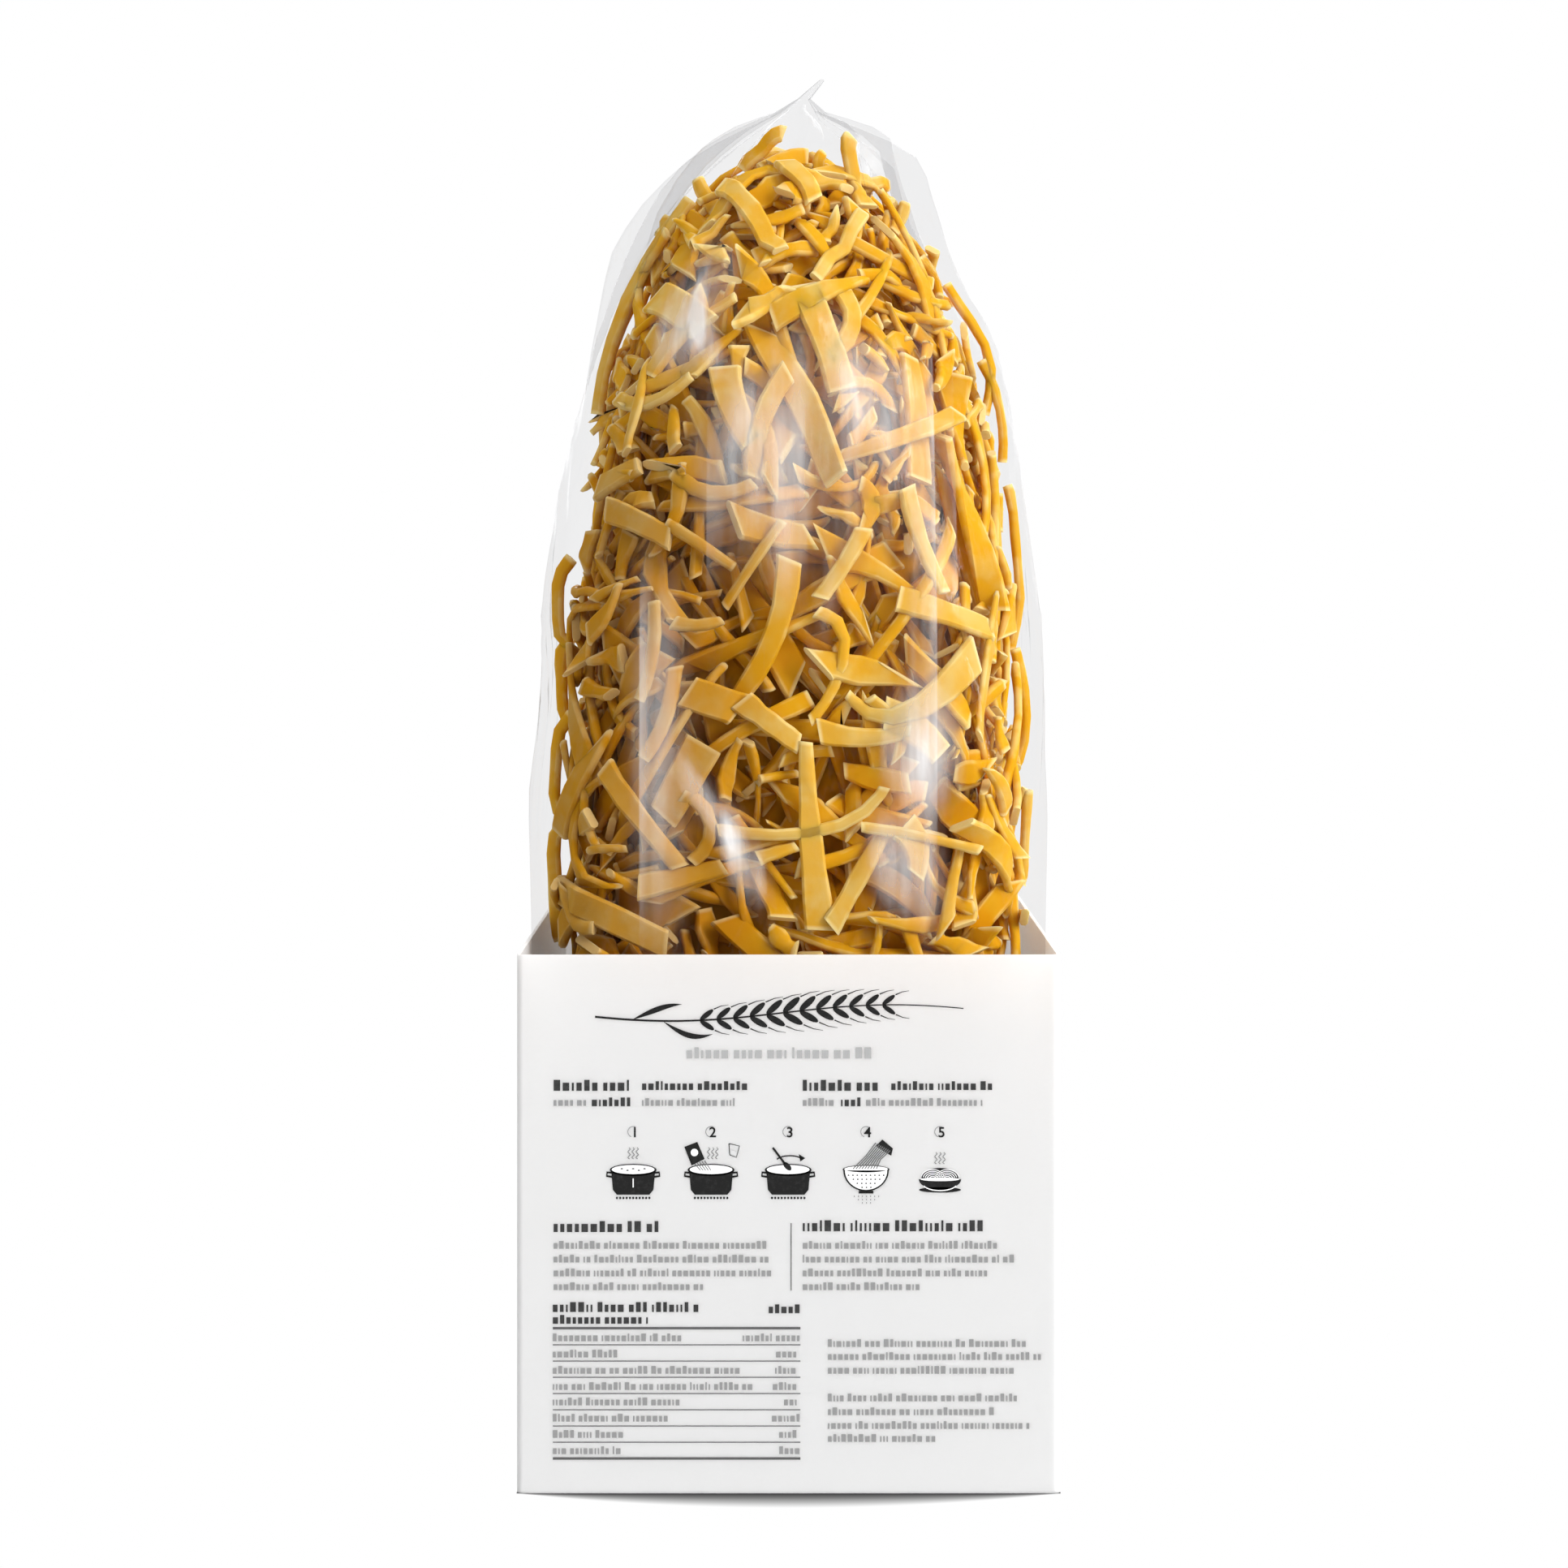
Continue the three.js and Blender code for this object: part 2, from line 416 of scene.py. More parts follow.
# Rows of plain marks: height of the middle, left and right ends and height of a mark, in pixels of the
# photograph's frame, and how dark they are from 0 to 1.
MARK_ROWS = [
    (1299, 846, 1076, 10, 0.6),
    (1339, 682, 777, 10, 0.97),
    (1339, 791, 926, 8, 0.97),
    (1359, 682, 722, 7, 0.72),
    (1359, 729, 785, 8, 0.97),
    (1359, 791, 906, 7, 0.72),
    (1339, 989, 1091, 10, 0.97),
    (1339, 1098, 1225, 8, 0.97),
    (1359, 989, 1029, 7, 0.72),
    (1359, 1036, 1060, 8, 0.97),
    (1359, 1067, 1212, 7, 0.72),
    (1513, 682, 811, 10, 0.97),
    (1512, 989, 1211, 10, 0.97),
    *((y, 682, end, 7, 0.72) for y, end in ((1535, 951), (1552, 947), (1569, 950), (1586, 866))),
    *((y, 989, end, 7, 0.72) for y, end in ((1535, 1234), (1552, 1251), (1569, 1216), (1586, 1135))),
    (1612, 681, 866, 9, 0.97),
    (1627, 681, 801, 8, 0.97),
    (1614, 947, 985, 8, 0.97),
    *((y, 681, end, 7, 0.72) for y, end in zip(TABLE_ROWS, (842, 764, 915, 928, 837, 826, 768, 769))),
    *((y, left, 985, 7, 0.72) for y, left in zip(TABLE_ROWS, (915, 956, 955, 952, 966, 951, 960, 960))),
    *((y, 1020, end, 7, 0.72) for y, end in ((1656, 1266), (1672, 1287), (1689, 1251))),
    *((y, 1020, end, 7, 0.72) for y, end in ((1723, 1257), (1740, 1225), (1757, 1268), (1773, 1157))),
]

# A mark's width, its height and the spaces after a mark and after a group, over the height of the row.
MARK_WIDTHS = (0.25, 0.5, 0.65, 0.65, 0.8)
MARK_HEIGHTS = (1, 1, 1, 1.35)
MARK_SPACE, GROUP_SPACE = 0.32, 0.4

# Ruled lines: left, top, right and bottom.
RULES = [
    (974, 1507, 975.2, 1590),
    (681, 1635, 986, 1638),
    *((681, y - 0.6, 986, y + 0.6) for y in range(1657, 1780, 20)),
    (681, 1795.5, 986, 1798.5),
]

STEP_COLUMNS = (780, 876, 971, 1067, 1158)  # the middles of the five cooking steps
POT_RIM = 1441  # the height that the pictures of the cooking steps are drawn from
NUMBER_MIDDLE, NUMBER_FOOT, NUMBER_SHIFT = 1394.5, 1401, 2  # where a step's number stands over it
NUMBER_SIZE = 2.5 * MM
BARE = 0.0  # the tone that looks like bare card
LAYER_LIFT = 0.6  # how much farther each layer of ink stands out, over the lift of the first
THINNEST_HALF = 0.15  # half the thinnest width of a line of ink, in pixels

# The stem of the sprig is a wave: its left end, length, middle height, depth and how far the wave runs.
STEM_LEFT, STEM_LENGTH, STEM_MIDDLE, STEM_DEPTH, STEM_RUN = 733, 454, 1248, 10, 5.2


class Print:
    """Flat shapes of ink that stand a hair proud of the front panel, placed by pixels of the photograph."""

    def __init__(self, lift):
        self.lift = lift
        self.mesh = bmesh.new()
        self.tone = self.mesh.faces.layers.float.new("tone")
        self.face = BOX_LOW.y

    def shape(self, outline, tone=1.0, layer=0):
        """A filled outline. Layers 1 and 2 lie over layer 0, for the shapes inside the dark ones."""
        area = sum(a[0] * b[1] - b[0] * a[1] for a, b in zip(outline, outline[1:] + outline[:1]))
        if area > 0:
            outline = outline[::-1]
        rings = []
        for out in (self.lift * (1 + LAYER_LIFT * layer), -self.lift):
            ring = []
            for px, py in outline:
                x = (px - PANEL_MIDDLE) / PANEL_SCALE * MM
                z = (PANEL_FOOT - py) / PANEL_SCALE * MM
                ring.append(self.mesh.verts.new((x, self.face - out, z)))
            rings.append(ring)
        front, back = rings
        faces = [self.mesh.faces.new(front), self.mesh.faces.new(back[::-1])]
        for i in range(len(front)):
            j = (i + 1) % len(front)
            faces.append(self.mesh.faces.new((front[j], front[i], back[i], back[j])))
        for face in faces:
            face[self.tone] = tone

    def bar(self, left, top, right, bottom, tone=1.0, layer=0):
        self.shape([(left, top), (right, top), (right, bottom), (left, bottom)], tone, layer)

    def oval(self, x, y, wide, high, tone=1.0, layer=0, turn=0.0, start=0, end=360):
        """A filled oval or, from start to end in degrees, a slice of one."""
        points = []
        count = 20
        closed = end - start >= 360
        for i in range(count if closed else count + 1):
            angle = math.radians(start + (end - start) * i / count)
            along, across = wide * math.cos(angle), high * math.sin(angle)
            right = along * math.cos(turn) - across * math.sin(turn)
            down = along * math.sin(turn) + across * math.cos(turn)
            points.append((x + right, y + down))
        self.shape(points, tone, layer)

    def stroke(self, points, width, tone=1.0, layer=0, end_width=None):
        """A line of ink along points, which may taper."""
        count = len(points)
        if end_width is None:
            end_width = width
        left, right = [], []
        for i, (x, y) in enumerate(points):
            before, after = points[max(0, i - 1)], points[min(count - 1, i + 1)]
            dx, dy = after[0] - before[0], after[1] - before[1]
            size = math.hypot(dx, dy) or 1
            half = (width + (end_width - width) * i / (count - 1)) / 2
            half = max(half, THINNEST_HALF)
            left.append((x - dy / size * half, y + dx / size * half))
            right.append((x + dy / size * half, y - dx / size * half))
        self.shape(left + right[::-1], tone, layer)

    def arc(self, x, y, wide, high, start, end, width, tone=1.0, layer=0):
        steps = 18
        angles = [math.radians(start + (end - start) * i / steps) for i in range(steps + 1)]
        self.stroke([(x + wide * math.cos(a), y + high * math.sin(a)) for a in angles], width, tone, layer)

    def marks(self, y, left, right, height, tone, chance):
        """A row of plain marks in groups of uneven length."""
        x = left
        group = chance.randint(3, 9)
        foot = y + height / 2
        while x < right - GROUP_SPACE * height:
            wide = min(height * chance.choice(MARK_WIDTHS), right - x)
            rise = height * chance.choice(MARK_HEIGHTS)
            self.bar(x, foot - rise, x + wide, foot, tone)
            x += wide + MARK_SPACE * height
            group -= 1
            if group == 0:
                x += GROUP_SPACE * height
                group = chance.randint(2, 9)

    def done(self, name, material):
        mesh = bpy.data.meshes.new(name)
        self.mesh.to_mesh(mesh)
        self.mesh.free()
        new_piece(name, mesh, material)


def ink_material(settings):
    """Matt black print that thins towards the card's own colour where its tone is low."""
    paint = Paint("print_ink")
    grain = paint.noise(paint.place(), 1400, 3, 0.6)
    tone = paint.attribute("tone")
    covered = paint.math("MULTIPLY", tone, 0.97 + 0.06 * grain, clamp=True)
    shader = paint.principled(
        Base_Color=paint.mix(covered, settings.card_colour, settings.ink_colour),
        Roughness=0.5 + 0.15 * grain,
        Specular_IOR_Level=0.15,
        Normal=paint.bump(grain, 0.05, 0.02 * MM),
    )
    return paint.finish(shader)


def around(x, *offsets):
    """Points given by how far right of x and below the pot's rim they are."""
    return [(x + right, POT_RIM + down) for right, down in offsets]


def draw_steam(ink, x, rise):
    """Three wavy lines of steam, that far over the pot's rim."""
    for shift in (-5, 0, 5):
        wave = [(shift + 1.6 * math.sin(t * 1.6), t * 1.75 - rise - 7) for t in range(9)]
        ink.stroke(around(x, *wave), 1.1, 0.8)


def draw_pot(ink, x):
    """A pot with two handles, an open top and a row of flames under it."""
    ink.shape(around(x, (-27, 2), (27, 2), (25, 25), (20, 31), (-20, 31), (-25, 25)))
    for side in (-1, 1):
        ink.stroke(around(x, (side * 26, 4), (side * 32, 3.5), (side * 32.5, 8), (side * 26, 9)), 2.6)
    ink.oval(x, POT_RIM + 0.5, 29, 7.5)
    ink.oval(x, POT_RIM, 26.5, 5.6, BARE, 1)
    for i in range(11):
        ink.oval(x - 20 + 4 * i, POT_RIM + 35, 1.3, 1.5)


def draw_boiling(ink, x):
    draw_steam(ink, x, 20)
    draw_pot(ink, x)
    for i in range(5):
        ink.oval(x - 14 + 7 * i, POT_RIM + (i % 2) * 2 - 1, 1.6, 1.1, 0.8, 2)
    ink.stroke(around(x, (0, 11), (0, 22)), 1.3, BARE, 1)


def draw_pouring(ink, x):
    """A packet that is emptied into the pot, with a cup beside it."""
    draw_pot(ink, x)
    ink.shape(around(x, (-33, -28), (-17, -34), (-8, -13), (-24, -5)))
    ink.oval(x - 20.5, POT_RIM - 21, 4.6, 4.6, BARE, 1)
    for i in range(5):
        ink.stroke(around(x, (3 * i - 20, -7 - i), (3.2 * i - 13, 1)), 1.1, 0.8, 2)
    draw_steam(ink, x + 2, 20)
    ink.stroke(around(x, (22, -32), (35, -29), (31, -15), (23, -18), (22, -32)), 1.0)
    ink.shape(around(x, (24, -24), (33, -21), (31, -16), (24, -19)), 0.35)


def draw_stirring(ink, x):
    """A spoon in the pot, with an arrow round it."""
    draw_pot(ink, x)
    ink.stroke(around(x, (-19, -27), (-4, -7)), 2.6, 1.0, 2)
    ink.oval(x - 1, POT_RIM - 4, 6.5, 3.4, 1.0, 2, 0.8)
    ink.arc(x + 2, POT_RIM - 10, 17, 7, 200, 330, 1.6)
    ink.shape(around(x, (13, -19), (21, -14), (15, -10)))


def draw_draining(ink, x):
    """A round strainer that noodles slide into, dripping."""
    ink.oval(x, POT_RIM, 29, 5.5)
    ink.oval(x, POT_RIM - 0.5, 27, 4, BARE, 1)
    for width, tone, layer in ((28, 1.0, 0), (26, BARE, 1)):
        ink.oval(x, POT_RIM + 1, width, width * 0.92, tone, layer, 0.0, 0, 180)
    ink.bar(x - 9, POT_RIM + 26, x + 9, POT_RIM + 29.5)
    for row in range(4):
        for column in range(-4 + row, 5 - row):
            ink.oval(x + column * 5.4 + (row % 2) * 0.5, POT_RIM + 7 + row * 5, 1.0, 1.0, 0.9, 2)
    for i in range(9):
        strand = around(x, (2.2 * i + 12, 1.2 * i - 33), (2.2 * i, 0.6 * i - 17), (3.6 * i - 16, -1))
        ink.stroke(strand, 1.2, 0.85, 2)
    ink.shape(around(x, (12, -29), (20, -37), (33, -26), (31, -17), (24, -21)))
    for row in range(3):
        for column in range(-3 + row, 4 - row):
            left, top = x + column * 5, POT_RIM + 32 + row * 4
            ink.bar(left, top, left + 1, top + 2, 0.7)


def draw_serving(ink, x):
    """A heaped bowl."""
    draw_steam(ink, x, 14)
    ink.oval(x, POT_RIM + 11, 23, 13, 1.0, 0, 0.0, 180, 360)
    for i in range(5):
        for side in (-1, 1):
            ink.arc(x + side * 9, POT_RIM + 11, 4 + 2.6 * i, 2.6 + 2.1 * i, 190, 350, 0.9, BARE, 1)
    ink.oval(x, POT_RIM + 12, 26, 13, 1.0, 0, 0.0, 0, 180)
    ink.oval(x, POT_RIM + 12, 24, 2.2, BARE, 1)
    ink.arc(x, POT_RIM + 17, 21, 9, 20, 160, 1.2, BARE, 1)
    ink.oval(x, POT_RIM + 25, 26, 3.4)


def draw_steps(ink):
    """Five plain pictures of cooking, each under an open ring that holds its number."""
    for x in STEP_COLUMNS:
        ink.arc(x, NUMBER_MIDDLE, 6.5, 6.5, 110, 300, 0.9, 0.7)
    pictures = (draw_boiling, draw_pouring, draw_stirring, draw_draining, draw_serving)
    for x, draw in zip(STEP_COLUMNS, pictures):
        draw(ink, x)


def stem_at(share):
    """The place at a share of the stem's length, and how the stem leans there."""
    swing = share * STEM_RUN + 0.5
    y = STEM_MIDDLE + STEM_DEPTH * math.sin(swing)
    lean = math.atan(STEM_DEPTH * STEM_RUN / STEM_LENGTH * math.cos(swing))
    return STEM_LEFT + STEM_LENGTH * share, y, lean


def draw_grain(ink, x, y, turn, side, size):
    """One grain of the ear, with its bristle."""
    reach = 15 * size
    ink.oval(x + reach * math.cos(turn), y + reach * math.sin(turn), 13.5 * size, 4.3 * size, turn=turn)
    tip = (x + 2 * reach * math.cos(turn), y + 2 * reach * math.sin(turn))
    far = (tip[0] + 24 * size, tip[1] + side * 7 * size)
    halfway = ((tip[0] + far[0]) / 2, tip[1] + side * 5 * size)
    ink.stroke([tip, halfway, far], 1.5, end_width=0.4)


def draw_sprig(ink):
    """An ear of wheat lying down, in the place at the top of the panel."""
    ink.stroke([stem_at(i / 30)[:2] for i in range(31)], 2.6, end_width=1.2)
    for i in range(12):
        x, y, lean = stem_at((8.5 + i * 1.35) / 30)
        for side in (-1, 1):
            draw_grain(ink, x, y, lean + side * 0.62, side, 1 - 0.3 * abs(i - 5) / 6)
    for start, rise in ((0.1, -20), (5.5 / 30, 17)):
        x, y, _ = stem_at(start)
        upper, under = [], []
        for i in range(13):
            share = i / 12
            right, down = x + 62 * share, y + rise * math.sin(share * 1.9)
            upper.append((right, down))
            under.append((right, down + 7 * math.sin(math.pi * share)))
        ink.shape(upper + under[::-1][1:-1])


def step_numbers(settings, material):
    """The numbers 1 to 5 over the cooking steps."""
    pieces = []
    for number, px in enumerate(STEP_COLUMNS, 1):
        text = bpy.data.curves.new("number", "FONT")
        text.body = str(number)
        text.size = NUMBER_SIZE
        text.align_x = "CENTER"
        text.extrude = settings.ink_lift
        text.offset = 0.04 * MM
        maker = bpy.data.objects.new("number", text)
        bpy.context.scene.collection.objects.link(maker)
        bpy.context.view_layer.update()
        graph = bpy.context.evaluated_depsgraph_get()
        mesh = bpy.data.meshes.new_from_object(maker.evaluated_get(graph), depsgraph=graph)
        bpy.data.objects.remove(maker)
        x = (px + NUMBER_SHIFT - PANEL_MIDDLE) / PANEL_SCALE * MM
        z = (PANEL_FOOT - NUMBER_FOOT) / PANEL_SCALE * MM
        mesh.transform(Matrix.Translation((x, BOX_LOW.y, z)) @ Matrix.Rotation(math.pi / 2, 4, "X"))
        pieces.append(mesh)
    joined = bmesh.new()
    for mesh in pieces:
        joined.from_mesh(mesh)
        bpy.data.meshes.remove(mesh)
    bmesh.ops.remove_doubles(joined, verts=joined.verts, dist=0.001 * MM)
    tone = joined.faces.layers.float.new("tone")
    for face in joined.faces:
        face[tone] = 1.0
    mesh = bpy.data.meshes.new("step_numbers")
    joined.to_mesh(mesh)
    joined.free()
    new_piece("step_numbers", mesh, material)


class NOODLEPACK_OT_print(bpy.types.Operator):
    """Print the front panel: rows of marks, rules, cooking steps and a sprig of wheat"""

    bl_idname = "noodle_pack.print"
    bl_label = "Print"

    def execute(self, context):
        settings = context.scene.noodle_card
        material = ink_material(settings)
        chance = random.Random(12)
        rows = Print(settings.ink_lift)
        for y, left, right, height, tone in MARK_ROWS:
            rows.marks(y, left, right, height, tone, chance)
        rows.done("text_marks", material)
        rules = Print(settings.ink_lift)
        for rule in RULES:
            rules.bar(*rule, tone=0.9)
        rules.done("table_rules", material)
        steps = Print(settings.ink_lift)
        draw_steps(steps)
        steps.done("cooking_steps", material)
        sprig = Print(settings.ink_lift)
        draw_sprig(sprig)
        sprig.done("wheat_sprig", material)
        step_numbers(settings, material)
        return {"FINISHED"}


# ---------------------------------------------------------------- heap of noodles


PRESS = 0.3 * MM  # how far a noodle sinks into what lies under it
STEEPEST = 0.35  # how steeply a noodle may lean out of the pile
DEPTH_SHADE_RATE = 1.6  # how fast the painted shade darkens the noodles with their depth in the pile
UNEVEN, UNEVEN_SCALE = 4.5 * MM, 48  # depth and fineness of the hollows in the pile
FRONT_PIXELS, SIDE_PIXELS = 6.95, 6.5  # pixels to a millimetre at the front and at the sides of the heap


class Heap:
    """The noodles' outer form as a grid of small cells, and how high the noodles are piled in each.

    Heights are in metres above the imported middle, which lies PILE under the outer form.
    """

    COLUMNS = 216  # cells around the heap
    ROW = 1.5 * MM  # height of a cell
    STEP = 1.6 * MM  # distance between the points of a path
    FINE = 600  # points of the profile before it is smoothed
    SMOOTHING = 15  # how many of them each side soften a corner of it

    def __init__(self):
        heights, halves, leans = (np.array(c) for c in zip(*HEAP_PROFILE))
        fine = np.linspace(heights[0], heights[-1], self.FINE)
        half = np.interp(fine, heights, halves)
        kernel = np.hanning(2 * self.SMOOTHING + 1)
        kernel = kernel / kernel.sum()
        half = np.convolve(np.pad(half, self.SMOOTHING, mode="edge"), kernel, "valid")
        lean = np.interp(fine, heights, leans)
        run = np.concatenate([[0], np.cumsum(np.hypot(np.diff(fine), np.diff(half)))])
        self.rows = int(run[-1] * MM / self.ROW)
        at = np.linspace(0, run[-1], self.rows + 1)
        self.ring_height = np.interp(at, run, fine)
        self.ring_half = np.interp(at, run, half)
        self.ring_lean = np.interp(at, run, lean)
        vertices = []
        for row in range(self.rows + 1):
            vertices += self.ring(row, 0)
        faces = band_faces(self.rows + 1, self.COLUMNS)
        self.tree = BVHTree.FromPolygons(vertices, faces)
        self.level = np.zeros(len(faces))
        self.centre = [sum((vertices[i] for i in face), Vector()) / 4 for face in faces]
        widest = max(self.ring_half)
        self.share = [self.ring_half[i // self.COLUMNS] / widest for i in range(len(faces))]

    def ring(self, row, inset):
        """The points of one row, that many millimetres inside the outer form."""
        height, half = self.ring_height[row], self.ring_half[row] - inset
        round_share = smooth_share(HEAP_SQUARE_BELOW, HEAP_ROUND_ABOVE, height)
        corner = HEAP_CORNER + (1 - HEAP_CORNER) * round_share
        points = []
        for column in range(self.COLUMNS):
            angle = 2 * math.pi * column / self.COLUMNS
            radius = half * rounded_square(angle, corner)
            right = radius * math.cos(angle) + self.ring_lean[row]
            points.append(Vector((right * MM, radius * math.sin(angle) * MM, height * MM)))
        return points

    def low_spot(self, chance, looks):
        """The least filled of a few random spots."""
        cells = [chance.randrange(len(self.level)) for _ in range(looks)]
        # The rings near the top are small, so that their cells are picked less often.
        cells = [c for c in cells if chance.random() < self.share[c]] or cells[:1]
        return self.centre[min(cells, key=lambda cell: self.level[cell])]

    def nearest(self, point):
        """The outer form's place, outward normal and cell nearest to a point."""
        place, normal, cell, _ = self.tree.find_nearest(point)
        return place, normal, cell

    def aim(self, px, py):
        """The place that the camera sees at a point of the photograph's frame."""
        ray = Vector((px - FRAME_SIDE / 2, FOCAL_PIXELS, FRAME_SIDE / 2 - py)).normalized()
        place, _, _, _ = self.tree.ray_cast(EYE, ray)
        if place is None:
            distance = -EYE.y
            place = EYE + ray * (distance / ray.y)
        return place

    def path(self, start, heading, length, bend, sway=0.0):
        """Walks over the outer form, turning by `bend` in all and swaying by `sway` on the way."""
        steps = max(5, round(length / self.STEP))
        place, normal, cell = self.nearest(start)
        level = normal.cross(Vector((0, 0, 1)))
        if level.length < 0.2:
            level = Vector((1, 0, 0))
        level.normalize()
        rise = level.cross(normal).normalized()
        direction = level * math.cos(heading) + rise * math.sin(heading)
        places, normals, cells = [place], [normal], [cell]
        for step in range(steps - 1):
            turn = (bend + sway * math.cos(2 * math.pi * step / steps)) / steps
            direction = Quaternion(normal, turn) @ direction
            place, normal, cell = self.nearest(place + direction * (length / (steps - 1)))
            direction = (direction - normal * direction.dot(normal)).normalized()
            places.append(place)
            normals.append(normal)
            cells.append(cell)
        return places, normals, cells

    def path_through(self, points):
        """A smooth path over the outer form through given places on it."""
        chord = [0.0]
        for a, b in zip(points, points[1:]):
            chord.append(chord[-1] + (b - a).length)
        table = np.array([tuple(p) for p in points])
        steps = max(5, round(chord[-1] / self.STEP))
        ends = np.linspace(0, chord[-1], steps)
        if len(points) > 2:
            degree = min(3, len(points) - 1)
            fits = [np.polyfit(chord, table[:, k], degree) for k in range(3)]
            smooth = np.stack([np.polyval(fit, ends) for fit in fits], 1)
        else:
            smooth = np.stack([np.interp(ends, chord, table[:, k]) for k in range(3)], 1)
        found = [self.nearest(Vector(p)) for p in smooth]
        return tuple(list(column) for column in zip(*found))


class BagInside:
    """The room inside the film."""

    def __init__(self):
        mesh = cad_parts["film_bag"].data
        self.tree = BVHTree.FromPolygons(
            [v.co for v in mesh.vertices], [tuple(p.vertices) for p in mesh.polygons]
        )

    def keep_in(self, point, margin):
        """The point, moved in where it is nearer to the film than the margin."""
        place, normal, _, _ = self.tree.find_nearest(point)
        excess = (point - place).dot(normal) + margin
        return point - normal * excess if excess > 0 else point


class Noodle:
    """What one noodle is before it has a place: its size and its shape.

    The taper is the share of the width that is left at its end. The bow lifts its middle, the pitch one end,
    the roll and the twist turn it about its length, and the cuts slant its ends. The ripple is the depth, the
    phase and the number of waves in its width.
    """

    def __init__(
        self,
        width,
        thickness,
        taper=1.0,
        bow=0.0,
        roll=0.0,
        twist=0.0,
        cuts=(0.0, 0.0),
        ripple=(0.0, 0.0, 1.0),
        pitch=0.0,
    ):
        self.width = width
        self.thickness = thickness
        self.taper = taper
        self.bow = bow
        self.roll = roll
        self.twist = twist
        self.cuts = cuts
        self.ripple = ripple
        self.pitch = pitch


class Batch:
    """Noodles of one kind: the lines they follow, with what the sweep needs at each point."""

    # Where a noodle's points are along it, and how much of the cut's slant each has. The first and the last
    # pair stand close, so that cut ends are crisp.
    SHARES = np.array([0, 0.05, 0.17, 0.32, 0.5, 0.68, 0.83, 0.95, 1])
    CUT_SHARE = np.array([1, 0.9, 0.35, 0, 0, 0, 0.35, 0.9, 1])
    CLEARANCE = 0.8 * MM  # least distance from a noodle to the film

    def __init__(self, name, bag):
        self.name = name
        self.bag = bag
        self.points, self.up, self.side = [], [], []
        self.half, self.thick, self.cut, self.tip, self.tint = [], [], [], [], []
        self.count = 0

    def add(self, line, normals, noodle, tint):
        """A noodle along a line, kept clear of the film. The tint is one number, or one for each point."""
        margin = noodle.thickness / 2 + abs(math.sin(noodle.roll)) * noodle.width / 2 + self.CLEARANCE
        line = [self.bag.keep_in(point, margin) for point in line]
        line = np.array([tuple(p) for p in line])
        normals = np.array([tuple(n) for n in normals])
        run = np.concatenate([[0], np.cumsum(np.linalg.norm(np.diff(line, axis=0), axis=1))])
        at = self.SHARES * run[-1]
        line = np.stack([np.interp(at, run, line[:, k]) for k in range(3)], 1)
        normals = np.stack([np.interp(at, run, normals[:, k]) for k in range(3)], 1)
        along = np.gradient(line, axis=0)
        along /= np.linalg.norm(along, axis=1)[:, None]
        across = np.cross(along, normals)
        across /= np.linalg.norm(across, axis=1)[:, None]
        face = np.cross(across, along)
        turn = (noodle.roll + noodle.twist * (self.SHARES - 0.5))[:, None]
        side = across * np.cos(turn) + face * np.sin(turn)
        up = face * np.cos(turn) - across * np.sin(turn)
        depth, phase, waves = noodle.ripple
        ripple = 1 + depth * np.sin(phase + 2 * math.pi * waves * self.SHARES)
        half = noodle.width / 2 * (1 + (noodle.taper - 1) * self.SHARES) * ripple
        slope = np.where(self.SHARES < 0.5, noodle.cuts[0], noodle.cuts[1]) * self.CUT_SHARE
        self.points.append(line)
        self.up.append(up)
        self.side.append(side)
        self.half.append(half)
        self.thick.append(np.full(len(at), noodle.thickness))
        self.cut.append(slope)
        self.tip.append(np.minimum(at, run[-1] - at))
        self.tint.append(np.interp(at, run, np.broadcast_to(tint, run.shape)))
        self.count += 1

    def mesh(self):
        """The lines as a mesh of edges, with the sizes as attributes."""
        size = len(self.SHARES)
        points = np.concatenate(self.points)
        mesh = bpy.data.meshes.new(self.name + "_lines")
        mesh.vertices.add(len(points))
        mesh.vertices.foreach_set("co", points.astype(np.float32).ravel())
        first = (np.arange(self.count) * size)[:, None] + np.arange(size - 1)[None, :]
        edges = np.stack([first, first + 1], 2).reshape(-1)
        mesh.edges.add(len(edges) // 2)
        mesh.edges.foreach_set("vertices", edges.astype(np.int32))
        for name, rows, kind, field in (
            ("up", self.up, "FLOAT_VECTOR", "vector"),
            ("side", self.side, "FLOAT_VECTOR", "vector"),
            ("half", self.half, "FLOAT", "value"),
            ("thick", self.thick, "FLOAT", "value"),
            ("cut", self.cut, "FLOAT", "value"),
            ("tip", self.tip, "FLOAT", "value"),
            ("tint", self.tint, "FLOAT", "value"),
        ):
            layer = mesh.attributes.new(name, kind, "POINT")
            layer.data.foreach_set(field, np.concatenate(rows).astype(np.float32).ravel())
        mesh.update()
        return mesh


